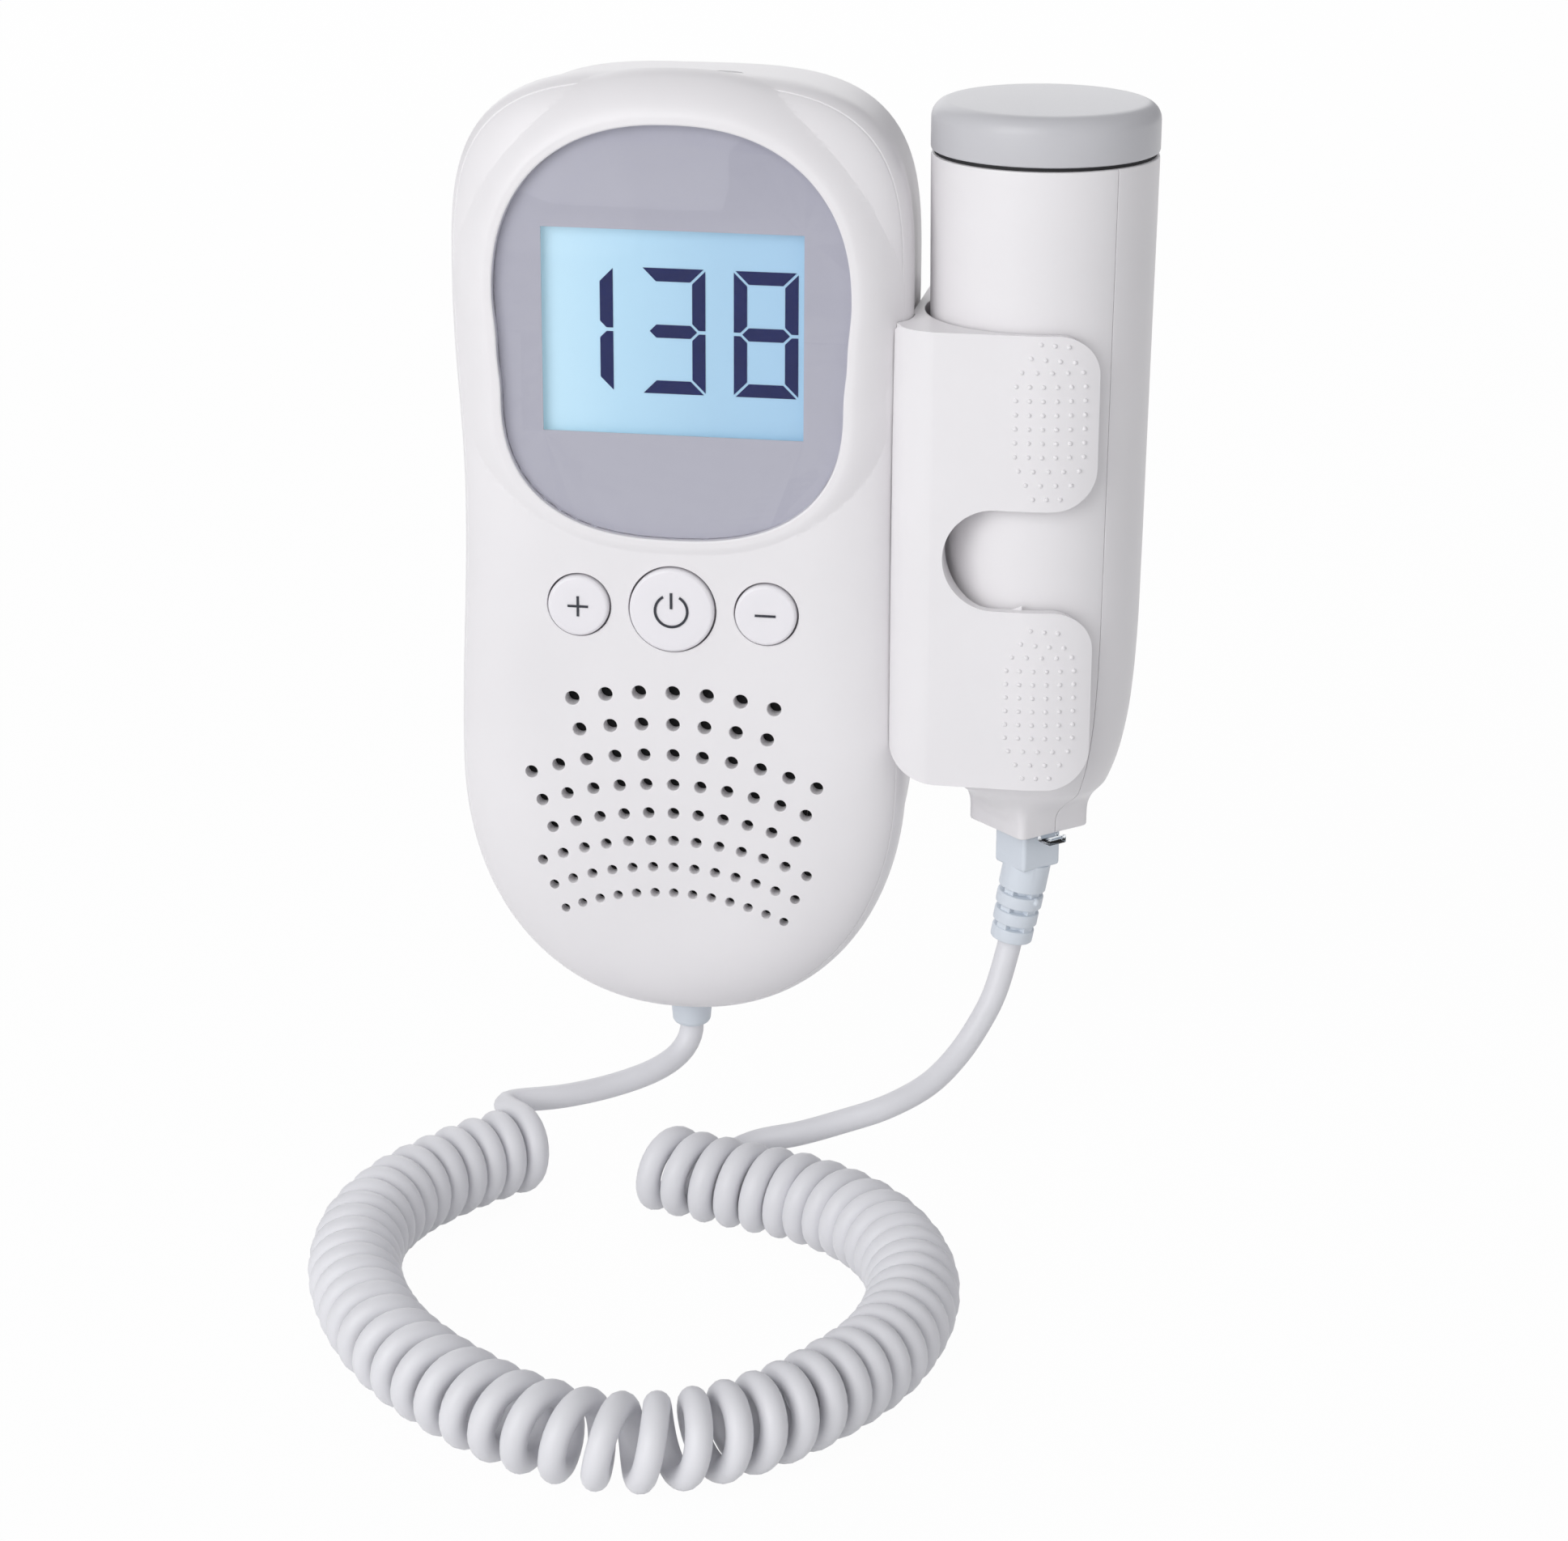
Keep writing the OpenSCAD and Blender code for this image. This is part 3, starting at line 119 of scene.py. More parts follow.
# Probe
PROBE_X = 48.6
PROBE_Y = -17.5
PROBE_R = 15.5
PROBE_FACE_Z = 64.3
PROBE_LEN = 103.3
PROBE_LOW_Z = PROBE_FACE_Z - PROBE_LEN
CAP_H = 6.8
SEAL_H = 0.5
PROBE_WALL = 1.8
CAP_ROUND, CAP_SAG = 2.4, 0.22
COLLAR_SIDE = 12.3
COLLAR_CORNER = 0.9
COLLAR_H = 1.6
COLLAR_BLEND_H = 7.5
PROBE_SHARES = [(0, 1), (0.066, 0.997), (0.274, 0.981), (0.45, 0.968), (0.622, 0.955), (0.72, 0.942),
                (0.787, 0.916), (0.826, 0.89), (0.86, 0.852), (0.893, 0.8), (0.929, 0.71), (0.961, 0.594),
                (1, 0.5)]
SEAM_TURN = radians(-45)
SEAM_HALF = 0.03
SOCKET_SPACES = [((-4.2, -4.2, PROBE_LOW_Z - 1), (5.4, 4.2, PROBE_LOW_Z + 1.6)),
                 ((-5.35, -5.35, PROBE_LOW_Z + 1.5), (5.35, 5.35, PROBE_LOW_Z + 17))]

# Cord
CORD_D = 3.5
CURL_D = 12.8
CURLS = 54
CURL_RINGS = 24
CORD_SIDES = 16
CORD_STEP = 1.1
LEAD_STEPS, LEAD_IN = 8, 1.5
COIL_SHARES = [(0, 0), (0.3, 0.285), (0.44, 0.44), (0.52, 0.535), (0.6, 0.62), (1, 1)]
FLOOR_ROUTE_Z = -119.0
COIL_ROUTE = [(-20.5, -41), (-25, -46), (-29.5, -52.5), (-33.5, -60.5), (-35.5, -70.5), (-34.5, -81),
              (-31, -91), (-24.5, -102), (-15.5, -111.5), (-5, -119), (4.5, -122.8), (13, -123.3),
              (21, -120), (28.5, -113.5), (34.5, -105), (39, -95.5), (41, -85), (40.5, -74.5),
              (37, -65), (31, -57), (23, -51.5), (14, -48.5), (6, -46.3), (0, -44)]
GLAND_TIP = (0, -20, -106.6)
GLAND_ROUTE = [(0, -20, -108.1), (-0.8, -20.8, -110.2), (-2.4, -22.4, -111.8), (-5, -24.6, -113),
               (-8.6, -27, -113.9), (-12.8, -29.6, -114.5), (-17.5, -32.4, -114.7),
               (-22.2, -34.6, -114.6), (-24, -35.9, -114.5)]
RELIEF_LEAN = radians(10)
RELIEF_TOP_Z = PROBE_LOW_Z - 0.9
RELIEF_BLOCK_H = 5.4
RELIEF_LEN = 11.8
PLUG_ROUTE = [(44.7, -19.5, -98.8), (42.6, -21, -103.4), (39.8, -23.5, -107.6), (36, -27, -111),
              (30.5, -30.5, -113.4), (24.5, -32.5, -115.2), (18.5, -35, -116.5), (12.5, -36, -117.8),
              (7.5, -36.3, -120.5), (3.6, -37.8, -122.9)]


# Camera: at the photograph's place, in the frame's millimetres

CAMERA_AT = (101.28, -538.72, 115.76)
AZIMUTH = radians(9.595)
ELEVATION = radians(19.126)
ROLL = radians(0.237)
FOCAL_MM = 89.21
SENSOR_W = 36.0


def in_scene(name, data):
    obj = bpy.data.objects.new(name, data)
    bpy.context.scene.collection.objects.link(obj)
    return obj


def make_camera():
    data = bpy.data.cameras.new("camera")
    data.lens = FOCAL_MM
    data.sensor_width = SENSOR_W
    data.clip_start, data.clip_end = 0.02, 20
    camera = in_scene("camera", data)
    back = Vector((sin(AZIMUTH) * cos(ELEVATION), -cos(AZIMUTH) * cos(ELEVATION), sin(ELEVATION)))
    right = (-back).cross(Vector((0, 0, 1))).normalized()
    up = back.cross(right)
    tilted = cos(ROLL) * right + sin(ROLL) * up
    upright = cos(ROLL) * up - sin(ROLL) * right
    turn = Matrix((tilted, upright, back)).transposed().to_4x4()
    camera.matrix_world = Matrix.Translation(Vector(CAMERA_AT) * MM) @ turn
    bpy.context.scene.camera = camera


# Meshes

def of_kind(items, kind):
    return [item for item in items if isinstance(item, kind)]


def whole(bm):
    return bm.verts[:] + bm.edges[:] + bm.faces[:]


def lofted(bm, rings):
    """A closed skin over rings with the same number of points, grown ring by ring from one circle."""
    place = bm.verts.layers.int.get("place") or bm.verts.layers.int.new("place")
    start = bmesh.ops.create_circle(bm, cap_ends=False, segments=len(rings[0]), radius=1)["verts"]
    for i, vert in enumerate(start):
        vert[place] = i
        vert.co = rings[0][i]
    edges = list({edge for vert in start for edge in vert.link_edges})
    faces = [bm.faces.new(start)]
    for ring in rings[1:]:
        grown = bmesh.ops.extrude_edge_only(bm, edges=edges)["geom"]
        verts = set(of_kind(grown, BMVert))
        for vert in verts:
            vert.co = ring[vert[place]]
        edges = [edge for edge in of_kind(grown, BMEdge) if verts.issuperset(edge.verts)]
        faces += of_kind(grown, BMFace)
    faces += [bm.faces.new(sorted(verts, key=lambda vert: vert[place]))]
    bmesh.ops.recalc_face_normals(bm, faces=faces)


def turned(bm, profile, at, axis=(0, 0, 1), steps=64):
    """A closed shape spun about an axis through a point, from its profile of (radius, height)."""
    axis = Vector(axis).normalized()
    side = axis.orthogonal().normalized()
    points = [Vector(at) + float(r) * side + float(h) * axis for r, h in profile]
    verts = [bm.verts.new(point) for point in points]
    edges = [bm.edges.new(pair) for pair in zip(verts, verts[1:])]
    known = set(bm.faces)
    bmesh.ops.spin(bm, geom=verts + edges, cent=at, axis=axis, angle=2 * pi, steps=steps,
                   use_merge=True, use_duplicate=False)
    faces = [face for face in bm.faces if face not in known]
    mine = list({vert for face in faces for vert in face.verts})
    bmesh.ops.remove_doubles(bm, verts=mine, dist=1e-4)
    bmesh.ops.recalc_face_normals(bm, faces=[face for face in bm.faces if face not in known])


def block(bm, low, high):
    low, high = Vector(low), Vector(high)
    place = Matrix.Translation((low + high) / 2) @ Matrix.Diagonal((*(high - low), 1))
    return bmesh.ops.create_cube(bm, size=1, matrix=place)["verts"]


def bar(bm, start, end, r, segments=48):
    """A round bar between two points."""
    start, end = Vector(start), Vector(end)
    along = end - start
    turn = Vector((0, 0, 1)).rotation_difference(along.normalized()).to_matrix().to_4x4()
    bmesh.ops.create_cone(bm, cap_ends=True, segments=segments, radius1=r, radius2=r, depth=along.length,
                          matrix=Matrix.Translation((start + end) / 2) @ turn)


def raised(bm, points, axis, end):
    """A prism from a flat outline to a place along an axis."""
    face = bm.faces.new([bm.verts.new(point) for point in points])
    for vert in of_kind(bmesh.ops.extrude_face_region(bm, geom=[face])["geom"], BMVert):
        vert.co[axis] = end
    bmesh.ops.recalc_face_normals(bm, faces=bm.faces)


def solid(bm, name="solid"):
    """A scratch object in millimetres for the cuts below."""
    mesh = bpy.data.meshes.new(name)
    bm.to_mesh(mesh)
    bm.free()
    return in_scene(name, mesh)


def combine(base, tool, operation):
    """Cuts or joins two scratch objects and keeps the first."""
    modifier = base.modifiers.new("combine", "BOOLEAN")
    modifier.operation = operation
    modifier.solver = "EXACT"
    modifier.object = tool
    mesh = bpy.data.meshes.new_from_object(base.evaluated_get(bpy.context.evaluated_depsgraph_get()))
    base.modifiers.clear()
    base.data = mesh
    bpy.data.objects.remove(tool)
    return base


def shape(build, *args, **settings):
    """A scratch object from a function that fills a mesh."""
    bm = bmesh.new()
    build(bm, *args, **settings)
    return solid(bm)


def cut(base, build, *args, **settings):
    return combine(base, shape(build, *args, **settings), "DIFFERENCE")


def join(base, build, *args, **settings):
    return combine(base, shape(build, *args, **settings), "UNION")


def dress(obj, name, body, slot, *replaces, seated=True):
    """Turns a scratch object into a finished piece in the frame's metres, riding on its body."""
    place = Matrix.Translation((0, 0, -SEAT_UP)) if seated else Matrix.Identity(4)
    obj.data.transform(Matrix.Scale(MM, 4) @ place)
    obj.name = name
    obj.data.name = name
    obj.data.materials.clear()
    obj.data.materials.append(FINISH[slot])
    obj.data.shade_smooth()
    obj.data.set_sharp_from_angle(angle=SHARP_ANGLE)
    if body:
        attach(obj, body)
    if replaces:
        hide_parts(*replaces)
    return obj


def weigh_normals(obj):
    """Keeps broad flat faces flat beside small round ones."""
    modifier = obj.modifiers.new("even shading", "WEIGHTED_NORMAL")
    modifier.keep_sharp = True
    modifier.weight = 80


# Outlines

def turns(first, last, count):
    """Evenly spaced angles, given in degrees."""
    return np.radians(np.linspace(first, last, count))


def arc(x, z, r, start, end, steps=12):
    return [(x + r * cos(a), z + r * sin(a)) for a in turns(start, end, steps + 1)]


def egg(low, low_z, low_end, low_n, mid, mid_z, top, top_z, top_end, top_n, count):
    """Closed outline with round ends of given power and a waist, its points evenly spaced."""
    quarter = turns(0, 90, 241)
    low_part = np.c_[low * np.sin(quarter) ** (2 / low_n),
                     low_z - (low_z - low_end) * np.cos(quarter) ** (2 / low_n)]
    top_part = np.c_[top * np.cos(quarter) ** (2 / top_n),
                     top_z + (top_end - top_z) * np.sin(quarter) ** (2 / top_n)]
    z = np.linspace(low_z, top_z, 82)[1:-1]
    below = mid + (low - mid) * (1 - np.cos(pi * np.clip((mid_z - z) / (mid_z - low_z), 0, 1))) / 2
    above = mid + (top - mid) * (1 - np.cos(pi * np.clip((z - mid_z) / (top_z - mid_z), 0, 1))) / 2
    sides = np.c_[np.where(z < mid_z, below, above), z]
    right = np.vstack([low_part, sides, top_part])
    closed = np.vstack([right, (right * (-1, 1))[::-1][1:]])
    run = np.r_[0, np.cumsum(np.linalg.norm(np.diff(closed, axis=0), axis=1))]
    even = np.linspace(0, run[-1], count + 1)[:-1]
    return np.c_[np.interp(even, run, closed[:, 0]), np.interp(even, run, closed[:, 1])]


CASE_OUTLINE = egg(low=CASE_LOW_W / 2, low_z=-30, low_end=-HALF_H, low_n=2.2, mid=CASE_WAIST_W / 2, mid_z=8,
                   top=HALF_W, top_z=38, top_end=HALF_H, top_n=3.4, count=OUTLINE_POINTS)


def at_depth(outline, y):
    return [(x, y, z) for x, z in outline]


def window_ring(grow, y):
    low, top = WINDOW_LOW_W / 2, WINDOW_TOP_W / 2
    return at_depth(egg(low=low + grow, low_z=24, low_end=WINDOW_LOW_Z - grow, low_n=2.5,
                        mid=(low + top) / 2 + grow, mid_z=31,
                        top=top + grow, top_z=38, top_end=WINDOW_TOP_Z + grow, top_n=2.3, count=200), y)


def case_ring(inset, y):
    return [(x * (1 - inset / HALF_W), y, z * (1 - inset / HALF_H)) for x, z in CASE_OUTLINE]


def skinned(bm, draw, places):
    """A closed skin over rings drawn at each size and depth of a list."""
    lofted(bm, [draw(size, y) for size, y in places])


def shoulder(start, width, y_start, y_end, power, steps=20):
    """Inset and depth along a rounded shoulder, from the straight wall to the flat face."""
    bend, deep = 2 / power, y_end - y_start
    rounds = [(start + width * (1 - cos(a) ** bend), y_start + deep * sin(a) ** bend)
              for a in turns(0, 90, steps + 1)[:-1]]
    return rounds + [(start + width, y_end)]


# Shared finishes

def fill(tree, node, values):
    """Sets a node's inputs, by name or place, or links them to outputs."""
    for place, value in dict(values).items():
        if isinstance(value, bpy.types.NodeSocket):
            tree.links.new(value, node.inputs[place])
        else:
            node.inputs[place].default_value = value


def add(tree, kind, values=()):
    node = tree.nodes.new("ShaderNode" + kind)
    fill(tree, node, values)
    return node


def add_noise(tree, vector, scale, detail=2.0):
    return add(tree, "TexNoise", {"Vector": vector, "Scale": scale, "Detail": detail}).outputs["Fac"]


def add_range(tree, value, low, high):
    """Spreads a 0 to 1 value between two others."""
    spread = add(tree, "MapRange", {"Value": value, "To Min": low, "To Max": high})
    spread.clamp = False
    return spread.outputs["Result"]


def add_math(tree, operation, *values):
    node = add(tree, "Math")
    node.operation = operation
    fill(tree, node, enumerate(values))
    return node.outputs["Value"]


def mixed_surface(tree, share, first, second, output="Material Output"):
    """Mixes two shaders into the surface."""
    mix = add(tree, "MixShader", enumerate((share, first, second)))
    fill(tree, tree.nodes[output], {"Surface": mix.outputs["Shader"]})


def moulded_skin():
    """Moulded plastic or rubber: soft blotches of tint, uneven gloss and a fine spark-eroded grain."""
    group = bpy.data.node_groups.new("moulded_skin", "ShaderNodeTree")
    for way, kind, names in (("INPUT", "Vector", ["Vector"]), ("INPUT", "Color", ["Colour", "Shade"]),
                             ("INPUT", "Float", ["Roughness", "Gloss spread", "Blotch scale", "Grain scale"]),
                             ("OUTPUT", "Color", ["Colour"]), ("OUTPUT", "Float", ["Roughness", "Height"])):
        for name in names:
            group.interface.new_socket(name=name, in_out=way, socket_type="NodeSocket" + kind)
    come = group.nodes.new("NodeGroupInput").outputs
    blotch = add_noise(group, come["Vector"], come["Blotch scale"], 3)
    grain = add_noise(group, come["Vector"], come["Grain scale"], 1)
    mix = add(group, "Mix")
    mix.data_type = "RGBA"
    fill(group, mix, {"Factor": add_range(group, blotch, -0.6, 1.4), "A": come["Colour"], "B": come["Shade"]})
    gloss = add_math(group, "MULTIPLY_ADD", add_range(group, grain, -1, 1), come["Gloss spread"],
                     come["Roughness"])
    fill(group, group.nodes.new("NodeGroupOutput"),
         {"Colour": mix.outputs["Result"], "Height": grain, "Roughness": gloss})
    return group


SKIN = moulded_skin()


def linear(colour):
    """A screen colour of 0 to 255 as the shader's linear one."""
    return tuple((c / 255 / 12.92 if c <= 10 else ((c / 255 + 0.055) / 1.055) ** 2.4) for c in colour)


def bare_material(name):
    material = bpy.data.materials.new(name)
    material.use_nodes = True
    return material, material.node_tree, material.node_tree.nodes["Principled BSDF"]


def object_place(tree):
    return add(tree, "TexCoord").outputs["Object"]


def uneven_gloss(tree, shader, scale, low, high):
    noise = add_noise(tree, object_place(tree), scale)
    fill(tree, shader, {"Roughness": add_range(tree, noise, low, high)})


GLOSS_SPREAD = 0.05


def plastic(name, colour, roughness=0.42, shade=0.96, grain=3500.0, depth=0.000004, blotch=40.0, **settings):
    """A moulded finish: its screen colour, how much darker its blotches are, grain a metre and grain depth."""
    material, tree, shader = bare_material(name)
    base = linear(colour)
    skin = add(tree, "Group")
    skin.node_tree = SKIN
    fill(tree, skin, {"Colour": (*base, 1), "Shade": (*(c * shade for c in base), 1), "Roughness": roughness,
                      "Gloss spread": GLOSS_SPREAD, "Blotch scale": blotch, "Grain scale": grain,
                      "Vector": object_place(tree)})
    bump = add(tree, "Bump", {"Distance": depth, "Height": skin.outputs["Height"]})
    fill(tree, shader, {"Base Color": skin.outputs["Colour"], "Roughness": skin.outputs["Roughness"],
                        "Normal": bump.outputs["Normal"]})
    fill(tree, shader, {setting.replace("_", " "): value for setting, value in settings.items()})
    return material


def clear_plastic(name, colour, roughness=0.03):
    """Clear moulded plastic that lets lamp light through to what lies behind it."""
    material, tree, shader = bare_material(name)
    tint = (*linear(colour), 1)
    fill(tree, shader, {"Base Color": tint, "Transmission Weight": 1, "IOR": CLEAR_IOR})
    uneven_gloss(tree, shader, 120.0, roughness * 0.7, roughness * 1.3)
    through = add(tree, "BsdfTransparent", {"Color": tint})
    rays = add(tree, "LightPath").outputs
    passed = add_math(tree, "MAXIMUM", rays["Is Shadow Ray"], rays["Is Diffuse Ray"])
    mixed_surface(tree, passed, shader.outputs["BSDF"], through.outputs["BSDF"])
    return material


def axis_ramp(tree, axis, low, high, stops):
    """Colours along one axis of the object, in metres."""
    split = add(tree, "SeparateXYZ", {"Vector": object_place(tree)})
    spread = add(tree, "MapRange", {"From Min": low, "From Max": high, "Value": split.outputs[axis]})
    ramp = add(tree, "ValToRGB", {"Fac": spread.outputs["Result"]})
    elements = ramp.color_ramp.elements
    while len(elements) < len(stops):
        elements.new(0.5)
    for element, (at, colour) in zip(elements, stops):
        element.position = at
        element.color = (*linear(colour), 1)
    return ramp.outputs["Color"]


def panel_grey_with_painted_shade():
    """Printed grey behind the window, with painted shade: lighter towards its foot, darker towards its top."""
    material, tree, shader = bare_material("panel_grey_painted_shade_print")
    # painted shade: the grey darkens from the foot of the panel towards its top
    painted_shade_greys = [(0, (201, 201, 205)), (0.75, (196, 196, 201)), (1, (189, 189, 195))]
    fill(tree, shader, {"Base Color": axis_ramp(tree, "Z", -0.03, 0.028, painted_shade_greys)})
    uneven_gloss(tree, shader, 2500.0, 0.42, 0.55)
    return material


def display_blue():
    """Backlit display: pale at the left, deeper blue at the right."""
    material, tree, shader = bare_material("backlit_display_blue")
    blues = [(0, (200, 236, 244)), (0.3, (184, 223, 236)), (0.65, (171, 210, 227)), (1, (167, 206, 226))]
    glow = axis_ramp(tree, "X", -0.018, 0.018, blues)
    fill(tree, shader, {"Base Color": glow, "Emission Color": glow, "Emission Strength": 0.22})
    uneven_gloss(tree, shader, 900.0, 0.25, 0.35)
    return material


FINISH = {
    "shell_white": plastic("shell_white_plastic", (238, 236, 238), 0.38),
    "key_white": plastic("key_white_plastic", (240, 238, 242), 0.34),
    "holder_white": plastic("holder_white_plastic", (239, 237, 239), 0.4),
    "cap_grey": plastic("cap_grey_plastic", (202, 202, 206), 0.36),
    "window_clear": clear_plastic("window_clear_plastic", (246, 246, 250)),
    "mask_grey": panel_grey_with_painted_shade(),
    "lcd_blue": display_blue(),
    "lcd_ink": plastic("display_ink_navy", (3, 22, 86), 0.5, shade=0.8, blotch=150.0, Specular_IOR_Level=0.2),
    "symbol_ink": plastic("symbol_ink_grey", (40, 43, 54), 0.45, shade=0.85),
    "frame_white": plastic("display_frame_white", (228, 228, 226), 0.5),
    "board_green": plastic("board_green_lacquer", (22, 92, 52), 0.3, shade=0.7, blotch=220.0),
    "chip_black": plastic("chip_black_resin", (34, 34, 37), 0.55, shade=0.8),
    "cloth_black": plastic("speaker_cloth_black", (14, 14, 16), 0.9, grain=1800.0, depth=0.00006),
    "cone_black": plastic("speaker_cone_black", (26, 26, 28), 0.7, grain=900.0, depth=0.00003),
    "steel": plastic("plated_steel", (200, 200, 203), 0.28, shade=0.85, Metallic=1.0),
    "cell_sleeve": plastic("cell_sleeve_green", (42, 96, 74), 0.3, shade=0.8),
    "seal_rubber": plastic("seal_rubber_black", (30, 30, 33), 0.75),
    "crystal": plastic("crystal_ceramic", (214, 204, 180), 0.5),
    "backing": plastic("crystal_backing_black", (38, 38, 42), 0.8),
    "plug_clear": clear_plastic("plug_clear_plastic", (232, 236, 240), 0.06),
    "contact_gold": plastic("contact_gold_plate", (226, 186, 92), 0.25, Metallic=1.0),
    "relief_grey": plastic("relief_grey_rubber", (222, 229, 237), 0.5, grain=2600.0, depth=0.000006),
    "cord_grey": plastic("cord_grey_rubber", (232, 232, 236), 0.46, grain=2200.0, depth=0.000008, blotch=90.0,
                         shade=0.93),
}


def dress_cad_nodes():
    """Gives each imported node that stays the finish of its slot."""
    slots = {part["node"]: part["material_slot"] for part in frame["record"]["subparts"]}
    for name, obj in nodes.items():
        slot = slots.get(name)
        if slot in FINISH:
            for place in obj.material_slots:
                place.material = FINISH[slot]
            if not obj.material_slots:
                obj.data.materials.append(FINISH[slot])


# Cord: lead from the gland, curls over the floor, lead to the plug

def smooth_line(points, steps):
    """Points along a smooth curve through the given ones."""
    p = np.array(points, float)
    q = np.vstack([2 * p[0] - p[1], p, 2 * p[-1] - p[-2]])
    line = []
    for i in range(1, len(q) - 2):
        a, b, c, d = q[i - 1:i + 3]
        for k in range(steps):
            t = k / steps
            line.append((2 * b + (c - a) * t + (2 * a - 5 * b + 4 * c - d) * t * t
                         + (3 * b - a - 3 * c + d) * t ** 3) / 2)
    return np.array(line + [p[-1]])


def run_of(line):
    return np.r_[0, np.cumsum(np.linalg.norm(np.diff(line, axis=0), axis=1))]


def points_at(line, marks):
    run = run_of(line)
    return np.c_[[np.interp(marks, run, line[:, k]) for k in range(3)]].T


def evenly(line, step):
    length = run_of(line)[-1]
    return points_at(line, np.linspace(0, length, max(2, round(length / step)) + 1))


def ways(steps):
    return steps / np.linalg.norm(steps, axis=1)[:, None]


def relaxed(line):
    """Evens out small kinks and keeps both ends."""
    line = line.copy()
    line[1:-1] = line[1:-1] / 2 + (line[:-2] + line[2:]) / 4
    return line


def curls_line():
    axis = smooth_line([(x, y, FLOOR_ROUTE_Z) for x, y in COIL_ROUTE], CURL_RINGS)
    count = int((CURLS + 0.5) * CURL_RINGS)
    s = np.interp(np.arange(count + 1) / count, *zip(*COIL_SHARES)) * run_of(axis)[-1]
    along = ways(points_at(axis, s + 0.5) - points_at(axis, s - 0.5))
    out = np.cross(along, (0, 0, 1))
    turn = np.radians(90 + 360 * np.arange(count + 1) / CURL_RINGS)[:, None]
    around = np.cos(turn) * out + np.sin(turn) * np.array((0, 0, 1))
    return points_at(axis, s) + (CURL_D - CORD_D) / 2 * around, out[0], out[-1]


def cord_line():
    curls, first_out, last_out = curls_line()
    start, end = curls[0] + CORD_D * first_out, curls[-1] + CORD_D * last_out
    relief_dir = np.array((-sin(RELIEF_LEAN), 0, -cos(RELIEF_LEAN)))
    relief_root = np.array((PROBE_X, PROBE_Y, RELIEF_TOP_Z - RELIEF_BLOCK_H - SEAT_UP))
    relief_end = relief_root + RELIEF_LEN * relief_dir
    lead_a = smooth_line([GLAND_TIP, *GLAND_ROUTE, start + LEAD_IN * first_out, start, curls[0], curls[3]],
                         LEAD_STEPS)
    lead_b = smooth_line([relief_end + 0.02 * relief_dir, relief_end + LEAD_IN * relief_dir, *PLUG_ROUTE,
                          end + LEAD_IN * last_out, end, curls[-1], curls[-4]], LEAD_STEPS)
    joined = np.vstack([lead_a[:-LEAD_STEPS], curls[1:-1], lead_b[:-LEAD_STEPS][::-1]])
    return relaxed(evenly(joined, CORD_STEP))


def make_cord():
    line = cord_line()
    along = ways(np.gradient(line, axis=0))
    side = np.cross(along[0], (1, 0, -1))
    rings = []
    for at, way in zip(line, along):
        side = side - (side @ way) * way
        side /= np.linalg.norm(side)
        other = np.cross(way, side)
        rings.append([Vector(at + CORD_D / 2 * (cos(2 * pi * k / CORD_SIDES) * side
                                                + sin(2 * pi * k / CORD_SIDES) * other))
                      for k in range(CORD_SIDES)])
    cord = dress(shape(lofted, rings), "curly_cord", None, "cord_grey",
                 "cord_lead_unit", "cord_coil", "cord_lead_probe", seated=False)
    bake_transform(cord)
    return cord, line * MM


# Case

HOLE_COUNTS = [7, 7, 11, 11, 11, 13, 13, 13]
HOLES_CENTRE_Z, HOLES_REACH, ROW_STEP, ROW_STEP_LOSS = -85.9, 68.2, 4.65, 0.13
HOLE_DEGREES, HOLE_R_TOP, HOLE_R_LOW = 4.05, 1, 0.65


def speaker_places():
    """Place and radius of each speaker hole: rows on arcs about one centre below."""
    for k, count in enumerate(HOLE_COUNTS):
        reach = HOLES_REACH - ROW_STEP * k + ROW_STEP_LOSS * k * (k - 1) / 2
        for i in range(count):
            turn = radians(HOLE_DEGREES * (i - (count - 1) / 2))
            yield (reach * sin(turn), HOLES_CENTRE_Z + reach * cos(turn),
                   HOLE_R_TOP + (HOLE_R_LOW - HOLE_R_TOP) * k / (len(HOLE_COUNTS) - 1))


SCREW_PLACES = [(side * x, z) for side in (-1, 1) for x, z in ((20, 56), (22.5, -42))]


def hole_with_round_mouth(bm, x, z, r, flare, steps):
    """Cutter for a hole in the front wall whose mouth is rounded by the flare."""
    mouth = [(r + flare * (1 - cos(a)), FRONT_Y + flare * (1 - sin(a))) for a in turns(0, 90, 4)]
    profile = [(0, INNER_Y + 1), (r, INNER_Y + 1), *mouth, (r + flare, FRONT_Y - 1), (0, FRONT_Y - 1)]
    turned(bm, profile, (x, 0, z), ALONG_Y, steps)


CREASE_INSET, CREASE_DEEP, CREASE_HALF = 1.0, 0.13, 0.16


def creased(profile):
    """Sinks a fine line into a shoulder, close inside its outline."""
    i = next(k for k, (d, _) in enumerate(profile) if d > CREASE_INSET)
    (d0, y0), (d1, y1) = profile[i - 1], profile[i]
    reach = sqrt((d1 - d0) ** 2 + (y1 - y0) ** 2)
    along = ((d1 - d0) / reach, (y1 - y0) / reach)
    sunk = (-along[1], along[0])
    middle = ((d0 + d1) / 2, (y0 + y1) / 2)
    steps = [(-CREASE_HALF, 0), (-CREASE_HALF / 3, CREASE_DEEP), (CREASE_HALF / 3, CREASE_DEEP),
             (CREASE_HALF, 0)]
    line = [(middle[0] + along[0] * a + sunk[0] * b, middle[1] + along[1] * a + sunk[1] * b) for a, b in steps]
    return profile[:i] + line + profile[i:]


